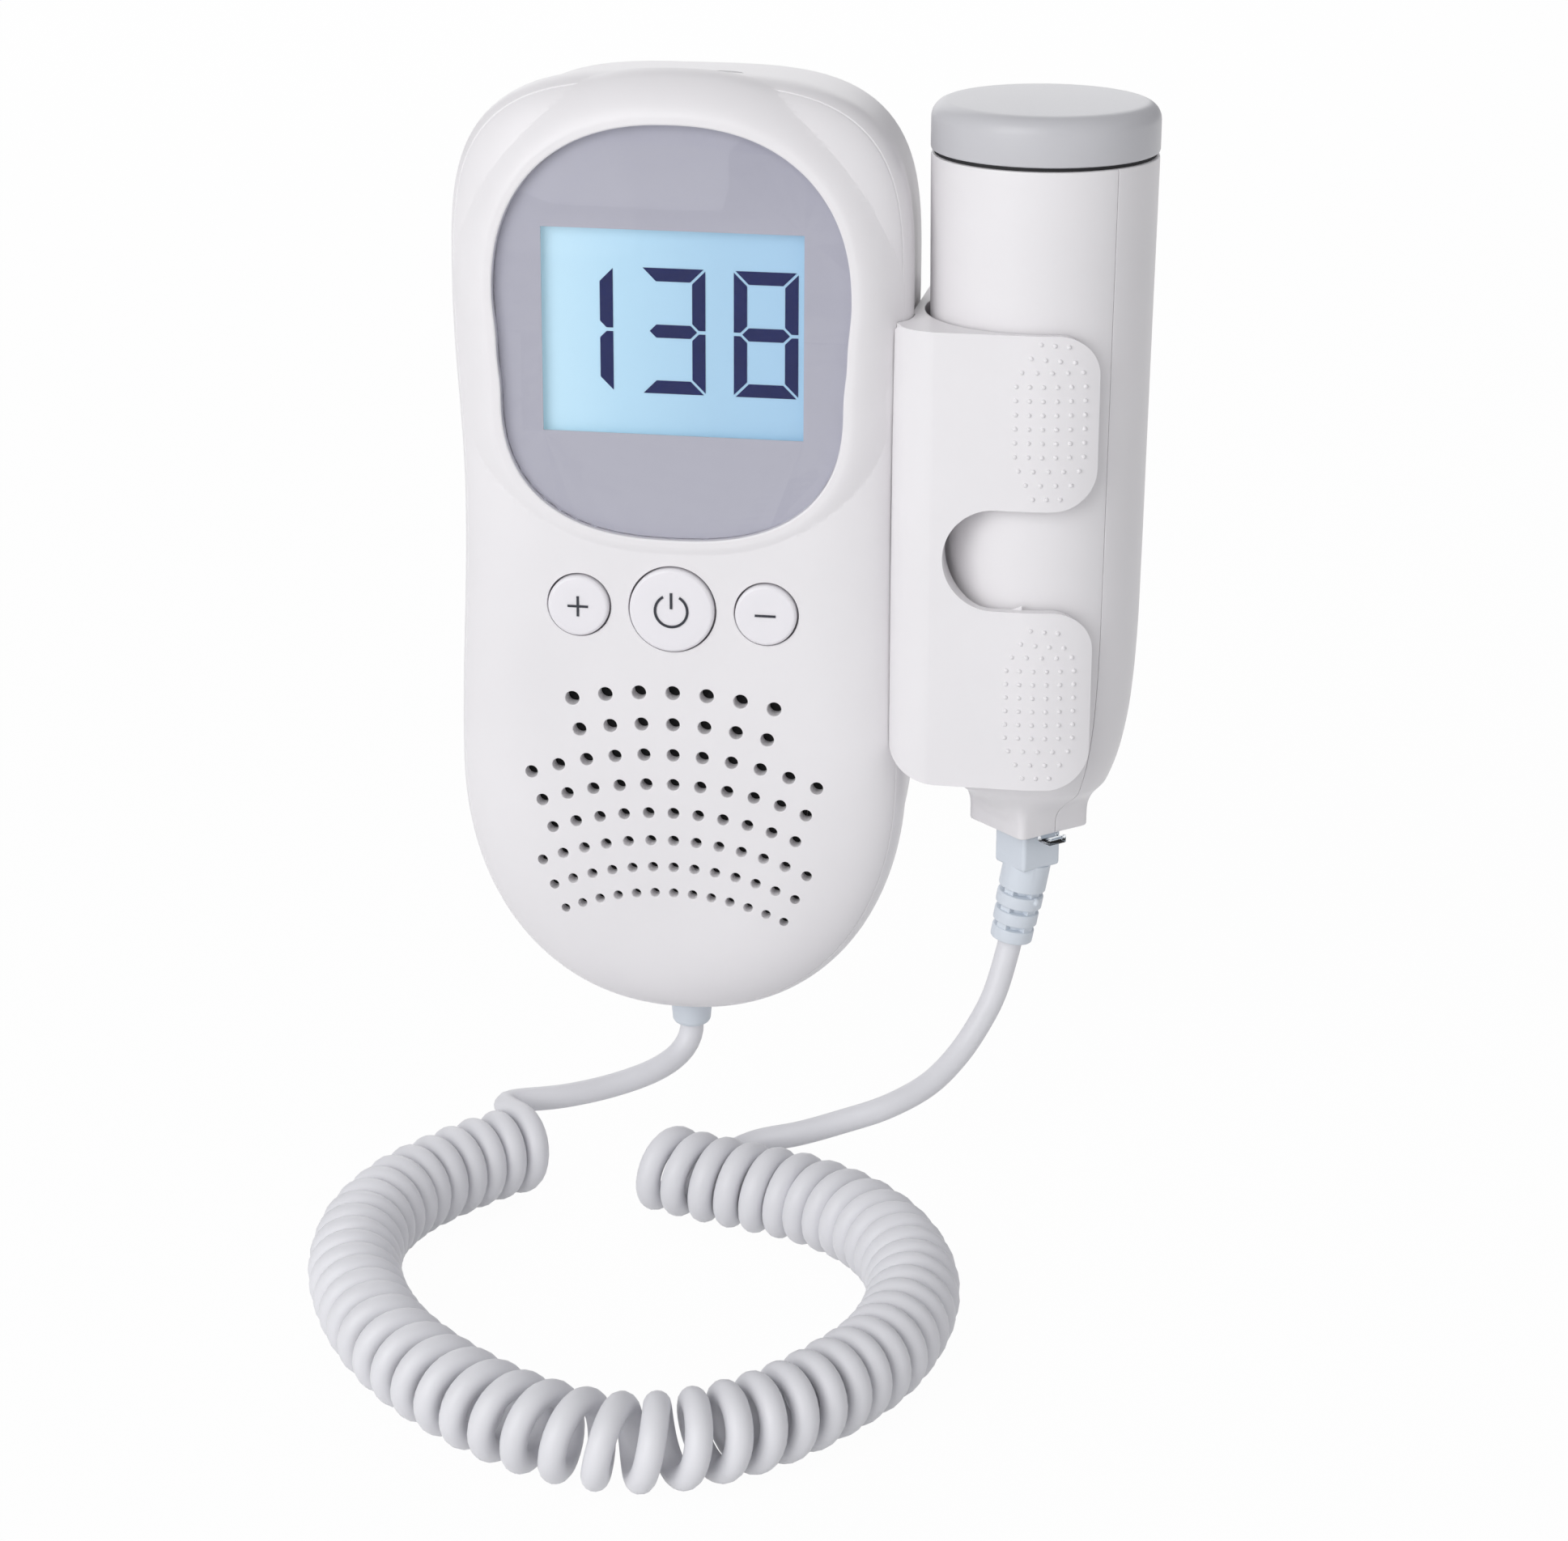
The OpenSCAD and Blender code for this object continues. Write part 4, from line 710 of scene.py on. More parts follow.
LIP = [(6.8, -27), (6.6, -28.5), (5.9, -29.8), (4.8, -31.1), (3.7, -32.1), (2.7, -32.8), (1.9, -33.2),
       (1.4, -33.36), (1.0, FRONT_Y - LIP_H)]
POCKET = [(0.1, FRONT_Y + WINDOW_SINK), (0.1, -33.1), (0.15, -33.27), (0.28, -33.37), (0.5, -33.42),
          (0.5, -36)]
FRONT_ROUND_Y, FRONT_ROUND_W, FRONT_POWER = FRONT_Y + 8, 14, 2.4
BACK_ROUND_Y, BACK_POWER = -10, 2.2
REAR_STEP = 0.5
BOSS_R = 3
SCREW_BORE_R = 1.3


def make_front_shell():
    edge = [(0.12, PART_Y), (0.02, PART_Y - 0.12), (0, PART_Y - 0.3)]
    outer = edge + creased(shoulder(0, FRONT_ROUND_W, FRONT_ROUND_Y, FRONT_Y, FRONT_POWER, 40))
    inner = [(WALL, PART_Y + 1),
             *shoulder(WALL, FRONT_ROUND_W - WALL, FRONT_ROUND_Y, INNER_Y, FRONT_POWER, 14)]

    def kept(bm):
        skinned(bm, window_ring, [(1.5, PAD_Y), (1.5, FRONT_Y)])
        for x, z in SCREW_PLACES:
            bar(bm, (x, PART_Y + 2, z), (x, FRONT_Y, z), BOSS_R)

    def openings(bm):
        half_w, half_h = (VIEW_W + VIEW_OPEN) / 2, (VIEW_H + VIEW_OPEN) / 2
        block(bm, (-half_w, FRONT_Y, VIEW_Z - half_h), (half_w, PAD_Y + 1, VIEW_Z + half_h))
        for x, r in ((-KEY_PITCH, STEP_R), (0, POWER_R), (KEY_PITCH, STEP_R)):
            hole_with_round_mouth(bm, x, KEY_Z, r + KEY_CLEAR, 0.1, 96)
        for x, z, r in speaker_places():
            hole_with_round_mouth(bm, x, z, r, 0.16, 28)
        for x, z in SCREW_PLACES:
            bar(bm, (x, PART_Y + 2.5, z), (x, PART_Y - 4.5, z), SCREW_BORE_R, segments=24)

    case = join(shape(skinned, case_ring, outer), skinned, window_ring, LIP)
    combine(case, cut(shape(skinned, case_ring, inner), kept), "DIFFERENCE")
    cut(case, skinned, window_ring, POCKET)
    cut(case, openings)
    weigh_normals(dress(case, "case_front_moulding", "unit", "shell_white", "front_shell"))


# painted shade: outline of a black sheet put behind the outer speaker holes in place of the shade inside the
# case
SHADE_SHEET_SIDE = [(0, -13.8), (16.6, -14.2), (16.8, -25), (22, -26.4), (22, -33), (20.4, -38.6), (19.4, -39.6),
             (19.4, -44.2), (20.2, -45.6), (18.6, -52.6), (0, -51.4)]


def make_speaker_shade_sheet():
    """A black sheet behind the field of holes round the speaker's own cloth: painted shade, standing in for
    the shade inside the case behind the outer holes.
    """
    low, high = (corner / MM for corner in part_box("speaker_cloth"))
    middle = (low + high) / 2
    outline = SHADE_SHEET_SIDE + [(-x, z) for x, z in SHADE_SHEET_SIDE[-2:0:-1]]
    # painted shade: a thin black sheet behind the outer holes, cut round the speaker's cloth
    shade_sheet = shape(lofted, [at_depth(outline, y) for y in (-30.35, -30.65)])
    reach = (high.x - low.x) / 2 + 0.15
    at_z = middle.z + SEAT_UP
    cut(shade_sheet, bar, (middle.x, -29, at_z), (middle.x, -32, at_z), reach, segments=96)
    dress(shade_sheet, "speaker_holes_shade_sheet", "unit", "cloth_black")


DOOR_LOW, DOOR_HIGH, DOOR_HALF_W, DOOR_ROUND = -46.8, 11.4, 17.3, 1.5
DOOR_AXIS = (-1.05, -46.05)
BAY_LOW, BAY_HIGH, BAY_HALF_W = -45.2, 9.8, 15.6
CELL_Y = -9.45
BAY_FRONT_Y = CELL_Y - 7.25 - 0.3
GLAND_Y = -20.0
SOCKET_X, SOCKET_Y = 5.0, -20.8
HOLDER_SCREWS = ((-8.5, -18), (-8.5, 24))
DOOR_SEAT = [(0.3, -2.1), (0.3, -0.25), (0.42, -0.06), (0.55, 0), (0.55, 1)]
THUMB_NOTCH = [(0, 1), (5.3, 1), (5.3, 0), (4.9, -0.1), (4.6, -0.6), (3.6, -1), (0, -1.1)]
SCREW_WELL = [(0, 1), (3, 1), (3, 0), (2.72, -0.1), (2.6, -0.4), (2.6, -10), (1.45, -10), (1.45, PART_Y - 1),
              (0, PART_Y - 1)]
SOCKET_BORE = [(0, 6), (2.95, 6), (2.95, 0), (2.75, -1.1), (2.7, -1.4), (2.7, -6), (0, -6)]
GLAND_BORE_R, HOLDER_BORE_R = 2.4, 1.2
BAY_WALL = 1.2
LEDGE_HALF_W, LEDGE_Y = 19.9, -3.3
HINGE_BORE_R, HINGE_BORE_HALF = 0.7, 18.7
PIN_R, PIN_HALF, KNUCKLE_R = 0.55, 18.4, 0.75
GRIPS, GRIP_PITCH, GRIP_DROP, GRIP_HALF, GRIP_TAPER, GRIP_R = 6, 1.7, 7.5, 7.5, 0.7, 0.55


def door_ring(grow, y):
    """Outline of the battery door: square at its hinge, round corners at its free end."""
    w, low, high, r = DOOR_HALF_W + grow, DOOR_LOW - grow, DOOR_HIGH + grow, DOOR_ROUND + grow
    right = [(w, low), *arc(w - r, high - r, r, 0, 90, 8)]
    return at_depth(right + [(-x, z) for x, z in reversed(right)], y)


def make_rear_shell():
    edge = [(REAR_STEP + 0.15, PART_Y), (REAR_STEP + 0.03, PART_Y + 0.12), (REAR_STEP, PART_Y + 0.3)]
    outer = edge + shoulder(1.2, 8, BACK_ROUND_Y, 0, BACK_POWER, 26)
    inner = [(REAR_STEP + WALL, PART_Y - 1)] + shoulder(1.2 + WALL, 7, BACK_ROUND_Y, -WALL, BACK_POWER, 14)
    case, cavity = (shape(skinned, case_ring, places) for places in (outer, inner))

    def bosses(bm):
        for x, z in SCREW_PLACES:
            bar(bm, (x, 1, z), (x, PART_Y + 0.1, z), BOSS_R)

    def bores(bm):
        for x, z in SCREW_PLACES:
            turned(bm, SCREW_WELL, (x, 0, z), ALONG_Y, 48)
        bar(bm, (0, GLAND_Y, -HALF_H - 1), (0, GLAND_Y, -HALF_H + 5), GLAND_BORE_R)
        turned(bm, SOCKET_BORE, (SOCKET_X, SOCKET_Y, HALF_H))
        for y, z in HOLDER_SCREWS:
            bar(bm, (25, y, z), (40, y, z), HOLDER_BORE_R, segments=24)

    cut(cavity, block, (-BAY_HALF_W - BAY_WALL, BAY_FRONT_Y - BAY_WALL, BAY_LOW - BAY_WALL),
        (BAY_HALF_W + BAY_WALL, 1, BAY_HIGH + BAY_WALL))
    cut(cavity, block, (-LEDGE_HALF_W, LEDGE_Y, DOOR_LOW - BAY_WALL), (LEDGE_HALF_W, 1, DOOR_HIGH + BAY_WALL))
    combine(case, cut(cavity, bosses), "DIFFERENCE")
    cut(case, block, (-BAY_HALF_W, BAY_FRONT_Y, BAY_LOW), (BAY_HALF_W, 1, BAY_HIGH))
    cut(case, skinned, door_ring, DOOR_SEAT)
    cut(case, turned, THUMB_NOTCH, (0, 0, DOOR_HIGH + 0.3), ALONG_Y)
    cut(case, bar, (-HINGE_BORE_HALF, *DOOR_AXIS), (HINGE_BORE_HALF, *DOOR_AXIS), HINGE_BORE_R, segments=24)
    cut(case, bores)
    weigh_normals(dress(case, "case_rear_moulding", "unit", "shell_white", "rear_shell"))


def make_battery_door():
    back, front = -0.3, -1.8
    door = shape(skinned, door_ring, [(0, front), (0, back - 0.35), (-0.1, back - 0.1), (-0.35, back)])

    def grips(bm):
        """Shallow thumb grooves across the free end of the door."""
        for k in range(GRIPS):
            z = DOOR_HIGH - GRIP_DROP - GRIP_PITCH * k
            width = GRIP_HALF - GRIP_TAPER * abs(k - (GRIPS - 1) / 2)
            bar(bm, (-width, back + 0.25, z), (width, back + 0.25, z), GRIP_R, segments=20)

    cut(door, block, (-30, -5, DOOR_LOW - 5), (30, 5, DOOR_AXIS[1]))
    join(door, bar, (-DOOR_HALF_W, *DOOR_AXIS), (DOOR_HALF_W, *DOOR_AXIS), KNUCKLE_R)
    join(door, bar, (-PIN_HALF, *DOOR_AXIS), (PIN_HALF, *DOOR_AXIS), PIN_R, segments=32)
    cut(door, grips)
    weigh_normals(dress(door, "battery_door_cover", "battery_door", "shell_white", "battery_door"))


def make_window():
    back = FRONT_Y + WINDOW_SINK - MASK_T
    front = back - LENS_T
    pane = shape(skinned, window_ring, [(0, back), (0, front + 0.2), (-0.06, front + 0.06), (-0.2, front)])
    dress(pane, "window_pane", "unit", "window_clear", "display_window")


def make_key(name, body, x, r, replaced):
    top = FRONT_Y - KEY_PROUD
    flange = INNER_Y + 0.3
    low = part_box(replaced)[1].y / MM
    edge = [(r - KEY_ROUND * (1 - sin(a)), top + KEY_ROUND * (1 - cos(a))) for a in turns(0, 90, 7)]
    profile = [(0, top + 0.04), (0.55 * r, top + 0.03), *edge, (r, flange), (r + FLANGE_OUT, flange),
               (r + FLANGE_OUT, flange + FLANGE_T), (PLUNGER_R, flange + FLANGE_T), (PLUNGER_R, low), (0, low)]
    dress(shape(turned, profile, (x, 0, KEY_Z), ALONG_Y, 96), name, body, "key_white", replaced)


# Probe

def probe_radius(z):
    places, shares = zip(*PROBE_SHARES)
    along = (PROBE_FACE_Z - z) / PROBE_LEN
    i = int(np.searchsorted(places, along, side="right")) - 1
    i = min(max(i, 0), len(places) - 2)
    slopes = np.gradient(shares, places)
    h = places[i + 1] - places[i]
    t = min(max((along - places[i]) / h, 0), 1)
    a, b = shares[i], shares[i + 1]
    return PROBE_R * ((2 * t ** 3 - 3 * t * t + 1) * a + (t ** 3 - 2 * t * t + t) * h * slopes[i]
                      + (3 * t * t - 2 * t ** 3) * b + (t ** 3 - t * t) * h * slopes[i + 1])


def square_radius(turn, half, corner):
    """Distance from the middle to the edge of a square with round corners."""
    fold = abs((turn + pi / 4) % (pi / 2) - pi / 4)
    flat = half / cos(fold)
    centre = (half - corner) * sqrt(2)
    off = pi / 4 - fold
    across = centre * sin(off)
    if flat * sin(fold) <= half - corner or across > corner:
        return flat
    return centre * cos(off) + sqrt(corner ** 2 - across ** 2)


def onto_probe(obj):
    """Places an object drawn on the probe's own axis, with its seam along X."""
    obj.data.transform(Matrix.Translation((PROBE_X, PROBE_Y, 0)) @ Matrix.Rotation(SEAM_TURN, 4, "Z"))
    return obj


def probe_ring(z, inset, segments=128):
    """Outline of the probe at a height: square collar below, round above, drawn in by the inset."""
    collar_top = PROBE_LOW_Z + COLLAR_H
    blend_top = PROBE_LOW_Z + COLLAR_BLEND_H
    blend = min(max((blend_top - z) / (blend_top - collar_top), 0), 1)
    blend = blend * blend * (3 - 2 * blend)
    bullet = probe_radius(max(z, collar_top + 0.2))
    ring = []
    for k in range(segments):
        turn = 2 * pi * k / segments
        square = square_radius(turn, COLLAR_SIDE / 2, COLLAR_CORNER)
        r = bullet + (square - bullet) * blend if z > collar_top else square
        x, y = r * cos(turn), r * sin(turn)
        share = 1 - inset / max(abs(complex(x, y)), 1)
        ring.append((x * share, y * share, z))
    return ring


def make_probe_shells():
    top = PROBE_FACE_Z - CAP_H - SEAL_H
    blend_z, hollow_low = PROBE_LOW_Z + 13, PROBE_LOW_Z + 16
    heights = [top, top - 0.1, top - 0.3, *np.linspace(top - 2, blend_z, 50),
               *np.linspace(blend_z, PROBE_LOW_Z + COLLAR_H, 36)[1:],
               PROBE_LOW_Z + 0.35, PROBE_LOW_Z + 0.1, PROBE_LOW_Z]
    insets = {top: 0.25, top - 0.1: 0.08, PROBE_LOW_Z + 0.1: 0.1, PROBE_LOW_Z: 0.3}
    rings = [probe_ring(z, insets.get(z, 0)) for z in heights]
    hollow = [(0, hollow_low), *[(probe_radius(z) - PROBE_WALL, z) for z in np.linspace(hollow_low, top, 24)],
              (probe_radius(top) - PROBE_WALL, top + 1), (0, top + 1)]
    for side, name, node in ((-1, "probe_front_moulding", "probe_front_shell"),
                             (1, "probe_rear_moulding", "probe_rear_shell")):
        bm = bmesh.new()
        lofted(bm, rings)
        rim = of_kind(bmesh.ops.bisect_plane(bm, geom=whole(bm), dist=1e-5, plane_co=(0, side * SEAM_HALF, 0),
                                             plane_no=(0, -side, 0), clear_outer=True)["geom_cut"], BMEdge)
        bmesh.ops.contextual_create(bm, geom=rim)
        bmesh.ops.recalc_face_normals(bm, faces=bm.faces)
        outer_rim = [edge for edge in rim if edge.is_valid and abs(edge.verts[0].co.x) > 1]
        bmesh.ops.bevel(bm, geom=outer_rim, offset=0.12, offset_type="OFFSET", segments=2, profile=0.5,
                        affect="EDGES", material=-1)
        half = solid(bm)
        cut(half, turned, hollow, (0, 0, 0))
        for low, high in SOCKET_SPACES:
            cut(half, block, low, high)
        weigh_normals(dress(onto_probe(half), name, "probe", "shell_white", node))


def make_probe_cap():
    low, inside_z, inside_r = PROBE_FACE_Z - CAP_H, PROBE_FACE_Z - 1.5, PROBE_R - PROBE_WALL
    crown = [((PROBE_R - 2) * k / 6, PROBE_FACE_Z - 0.02 - CAP_SAG * (k / 6) ** 2) for k in range(6)]
    corner = arc(PROBE_R - CAP_ROUND, PROBE_FACE_Z - CAP_ROUND - CAP_SAG, CAP_ROUND, 90, 0, 11)
    profile = [*crown, *corner, (PROBE_R, low + 0.35), (PROBE_R - 0.08, low + 0.12), (PROBE_R - 0.3, low),
               (inside_r, low), (inside_r, inside_z), (0, inside_z)]
    cap = shape(turned, profile, (PROBE_X, PROBE_Y, 0), steps=128)
    dress(cap, "probe_face_cap", "probe", "cap_grey", "probe_cap")


# Holder: a plate wrapped round the probe from the case, over a body that carries it

HOLDER_LEFT = 29.8
HOLDER_R = 17.4
BORE_R = 15.8
BACK_Y, BACK_OVERHANG = -0.1, 3.5
CASE_GAP = 0.15
PLATE_SOFT, PLATE_T = 0.75, 1.55
HOLDER_CORNER = 7.0
HOLDER_TOP, HOLDER_LOW = 35.5, -28.3
HOLDER_FOOT, HOLDER_FOOT_W, HOLDER_SHOULDER, FINGER_ROUND = 5.2, 7.8, 2.0, 5.6
FINGER_MID, FINGER_GAP, FINGER_LEFT, FINGER_RIGHT = 4.3, 14.2, 37.7, 58.2
SIDE_RUN = 4.4
CORNER_RUN = SIDE_RUN + HOLDER_CORNER * pi / 2
FLAT_RUN = CORNER_RUN + PROBE_X - HOLDER_LEFT - HOLDER_CORNER
HOLDER_FRONT_Y = PROBE_Y - HOLDER_R
CORNER_X = HOLDER_LEFT + HOLDER_CORNER


def wrap_point(run, z, depth):
    """A point of the flat plate, bent round the holder's plan; depth is below its outer face."""
    corner_y = HOLDER_FRONT_Y + HOLDER_CORNER
    if run < SIDE_RUN:
        return HOLDER_LEFT + depth, corner_y + SIDE_RUN - run, z
    if run < CORNER_RUN:
        a = pi + (run - SIDE_RUN) / HOLDER_CORNER
        r = HOLDER_CORNER - depth
        return CORNER_X + r * cos(a), corner_y + r * sin(a), z
    if run < FLAT_RUN:
        return CORNER_X + run - CORNER_RUN, HOLDER_FRONT_Y + depth, z
    a = -pi / 2 + (run - FLAT_RUN) / HOLDER_R
    r = HOLDER_R - depth
    return PROBE_X + r * cos(a), PROBE_Y + r * sin(a), z


def run_at(x):
    """How far along the plate a place of the front view lies."""
    if x < CORNER_X:
        return SIDE_RUN + HOLDER_CORNER * acos(min(max((CORNER_X - x) / HOLDER_CORNER, 0), 1))
    if x < PROBE_X:
        return CORNER_RUN + x - CORNER_X
    return FLAT_RUN + HOLDER_R * asin(min((x - PROBE_X) / HOLDER_R, 1))


def foot_curve():
    """The plate's lower corner beside the case."""
    return [(HOLDER_LEFT + HOLDER_FOOT_W * (1 - cos(a)), HOLDER_LOW + HOLDER_FOOT * (1 - sin(a)))
            for a in turns(0, 90, 15)]


def holder_outline():
    """Front view of the plate, in runs along it: two fingers with round corners and the gap between."""
    gap_r = FINGER_GAP / 2
    low, high = FINGER_MID - gap_r, FINGER_MID + gap_r
    r = FINGER_ROUND
    tip = FINGER_RIGHT - r
    view = (foot_curve() + arc(tip, HOLDER_LOW + r, r, 270, 360) + arc(tip, low - r, r, 0, 90)
            + arc(FINGER_LEFT + gap_r, FINGER_MID, gap_r, 270, 90, 36)
            + arc(tip, high + r, r, -90, 0) + arc(tip, HOLDER_TOP - r, r, 0, 90)
            + arc(HOLDER_LEFT + HOLDER_SHOULDER, HOLDER_TOP - HOLDER_SHOULDER, HOLDER_SHOULDER, 90, 180, 6))
    runs = [(run_at(x), z) for x, z in view]
    return [(0, HOLDER_LOW + HOLDER_FOOT)] + runs + [(0, HOLDER_TOP - HOLDER_SHOULDER)]


def plate(bm):
    """The bent plate with soft rims: a flat outline inset step by step, backed, sliced and wrapped."""
    face = bm.faces.new([bm.verts.new((run, z, -PLATE_SOFT)) for run, z in holder_outline()])
    rim = list(face.edges)
    steps = turns(0, 90, 6)
    for a, b in zip(steps, steps[1:]):
        bmesh.ops.inset_region(bm, faces=[face], thickness=PLATE_SOFT * (cos(a) - cos(b)), depth=0,
                               use_even_offset=True)
        for vert in face.verts:
            vert.co.z = -PLATE_SOFT + PLATE_SOFT * sin(b)
    grown = bmesh.ops.extrude_edge_only(bm, edges=rim)["geom"]
    low = of_kind(grown, BMVert)
    for vert in low:
        vert.co.z = -PLATE_T
    bmesh.ops.contextual_create(bm, geom=[edge for edge in of_kind(grown, BMEdge)
                                          if edge.verts[0] in low and edge.verts[1] in low])
    for run in np.arange(SIDE_RUN, FLAT_RUN + 11, 0.5):
        if run < CORNER_RUN or run > FLAT_RUN:
            bmesh.ops.bisect_plane(bm, geom=whole(bm), dist=1e-5, plane_co=(run, 0, 0), plane_no=(1, 0, 0))
    for vert in bm.verts:
        vert.co = wrap_point(vert.co.x, vert.co.y, -vert.co.z)
    bmesh.ops.recalc_face_normals(bm, faces=bm.faces)


def holder_body(bm):
    """The block between case and probe, and the wall behind the probe."""
    circle = [(PROBE_X + HOLDER_R * cos(a), PROBE_Y + HOLDER_R * sin(a))
              for a in np.linspace(acos(BACK_OVERHANG / HOLDER_R), pi / 2, 8)]
    plan = [(HOLDER_LEFT, BACK_Y), (HOLDER_LEFT, -28.5), (31.5, -32.2), (35.5, -33.6), (PROBE_X, -33.6),
            (PROBE_X, PROBE_Y), (PROBE_X + BACK_OVERHANG, PROBE_Y)] + [(x, min(y, BACK_Y)) for x, y in circle]
    raised(bm, [(x, y, HOLDER_LOW) for x, y in plan], 2, HOLDER_TOP)


DOT_ROWS = [(1.75, 1, 3), (1.05, 1.05, 4), (0.4, 1.1, 5), *[(0, 1, 6)] * 6,
            (0.3, 1.1, 5), (0.85, 1.1, 4), (1.4, 1, 3)]
DOT_PITCH_X, DOT_PITCH_Z, DOT_R, DOT_H = 1.83, 1.93, 0.33, 0.3
DOT_STARTS = [(47.25, 34.4), (46.8, -5.3)]


def dots():
    """Grip dots on each finger: six columns, with the corners of the patch drawn in."""
    for start_x, top in DOT_STARTS:
        for row, (skip, stride, count) in enumerate(DOT_ROWS):
            for k in range(count):
                sag = 0.18 * k if row in (0, 1) else 0
                yield start_x + DOT_PITCH_X * (skip + stride * k), top - DOT_PITCH_Z * row - sag


def holder_foot(bm):
    """Rounds the lower corner beside the case as the plate has it."""
    side, low = HOLDER_LEFT - 1, HOLDER_LOW - 1
    outline = [(side, low), (HOLDER_LEFT + HOLDER_FOOT_W, low), *reversed(foot_curve()),
               (side, HOLDER_LOW + HOLDER_FOOT)]
    lofted(bm, [at_depth(outline, y) for y in (5, -60)])


def holder_bore(bm):
    """Bore for the probe, narrower at the foot, where a lip holds it up."""
    lip = HOLDER_LOW + 1.8
    low_r = probe_radius(lip) + 0.3
    turned(bm, [(0, HOLDER_LOW - 1), (low_r + 0.5, HOLDER_LOW - 1), (low_r + 0.4, HOLDER_LOW),
                (low_r, HOLDER_LOW + 0.4), (low_r, lip), (BORE_R, lip), (BORE_R, HOLDER_TOP - 0.45),
                (BORE_R + 0.14, HOLDER_TOP - 0.12), (BORE_R + 0.5, HOLDER_TOP),
                (BORE_R + 0.5, HOLDER_TOP + 1), (0, HOLDER_TOP + 1)], (PROBE_X, PROBE_Y, 0), steps=128)


def make_holder():
    holder = shape(plate)
    body = cut(shape(holder_body), holder_foot)
    gap_x = FINGER_LEFT + FINGER_GAP / 2
    cut(body, bar, (gap_x, PROBE_Y, FINGER_MID), (gap_x, -60, FINGER_MID), FINGER_GAP / 2 + 0.4, segments=96)
    combine(body, holder, "UNION")
    cut(body, holder_bore)
    near = [(d - CASE_GAP, y - CASE_GAP) for d, y in
            [(0, PART_Y + CASE_GAP), *shoulder(0, FRONT_ROUND_W, FRONT_ROUND_Y, FRONT_Y, FRONT_POWER)]]
    for places in (near, [(REAR_STEP - CASE_GAP, 5), (REAR_STEP - CASE_GAP, PART_Y - 0.1)]):
        cut(body, skinned, case_ring, places)
    bm = bmesh.new()
    bm.from_mesh(body.data)
    for x, z in dots():
        run = run_at(x)
        outer, inner = Vector(wrap_point(run, z, 0)), Vector(wrap_point(run, z, 1))
        turn = Vector((0, 0, 1)).rotation_difference(outer - inner).to_matrix().to_4x4()
        place = Matrix.Translation(outer) @ turn @ Matrix.Diagonal((DOT_R, DOT_R, DOT_H, 1))
        bmesh.ops.create_icosphere(bm, subdivisions=2, radius=1, matrix=place)
    bm.to_mesh(body.data)
    bm.free()
    weigh_normals(dress(body, "probe_holder_clip", "unit", "holder_white", "probe_holder"))


# Plug, its latch and its moulded strain relief

PLUG_HALF = 3.1
PLUG_TOP_Z = PROBE_LOW_Z + 14.6
LATCH_ROOT_Z = PROBE_LOW_Z + 12
LATCH_ROOT = 3.3
LATCH_FOOT = LATCH_ROOT + 1.05
LATCH_FOOT_Z = RELIEF_TOP_Z - 0.6
LATCH_T, LATCH_W, LATCH_REACH, LATCH_HOOK = 0.5, 3.0, 6.8, 1.1
RELIEF_HALF, NECK_LEN, CORE_R = 3.35, 3.7, 1.95
RINGS, RING_PITCH, RING_SOFT = 3, 2.7, 0.22
WEB_TURNS = (35, 125)
CONTACTS, CONTACT_PITCH, CONTACT_W, CONTACT_DEEP, CONTACT_LEN = 4, 1.1, 0.5, 1.0, 4.0


def bevel_all(bm, width, segments=3):
    """Rounds every edge sharper than an angle."""
    edges = [edge for edge in bm.edges if edge.is_manifold and edge.calc_face_angle(0) > BEVEL_ANGLE]
    bmesh.ops.bevel(bm, geom=edges, offset=width, offset_type="OFFSET", segments=segments, profile=0.5,
                    affect="EDGES", clamp_overlap=True, material=-1)


def contact_blocks(bm, x_low, x_high, half_w, z_low, z_high):
    for i in range(CONTACTS):
        y = CONTACT_PITCH * (i - (CONTACTS - 1) / 2)
        block(bm, (x_low - PLUG_HALF, y - half_w, PLUG_TOP_Z + z_low),
              (x_high - PLUG_HALF, y + half_w, PLUG_TOP_Z + z_high))


def soft_block(bm, half, low, high, width, segments):
    """A square post with rounded edges."""
    block(bm, (-half, -half, low), (half, half, high))
    bevel_all(bm, width, segments)


def relief_rings(bm, root, way):
    """Neck, core and soft rings along the leaning axis; heights run down the cord."""
    soft = [(RING_SOFT * (1 - cos(a)), RING_SOFT * (1 - sin(a))) for a in turns(90, 0, 4)]
    profile = [(0, -0.6), (3.4, -0.6), (3.4, NECK_LEN - RING_SOFT)]
    profile += [(3.4 - x, NECK_LEN - y) for x, y in reversed(soft)][1:]
    for i in range(RINGS):
        start = NECK_LEN + 0.8 + RING_PITCH * i
        r = 3.35 - 0.15 * i
        profile += [(CORE_R, start - 0.8), (CORE_R, start)]
        profile += [(r - x, start + y) for x, y in soft]
        profile += [(r - x, start + 1.9 - y) for x, y in reversed(soft)]
    end = NECK_LEN + RING_PITCH * RINGS
    profile += [(2.3, end), (2.1, end + 0.25), (0, end + 0.25)]
    profile = [point for k, point in enumerate(profile) if k == 0 or point != profile[k - 1]]
    turned(bm, profile, root, way, 96)


def relief_webs(bm, root):
    for turn in WEB_TURNS:
        place = (Matrix.Translation(root) @ Matrix.Rotation(RELIEF_LEAN, 4, "Y")
                 @ Matrix.Rotation(-radians(turn), 4, "Z"))
        box = block(bm, (-2.75, -0.85, -10.9), (2.75, 0.85, -3.1))
        bmesh.ops.transform(bm, matrix=place, verts=box)


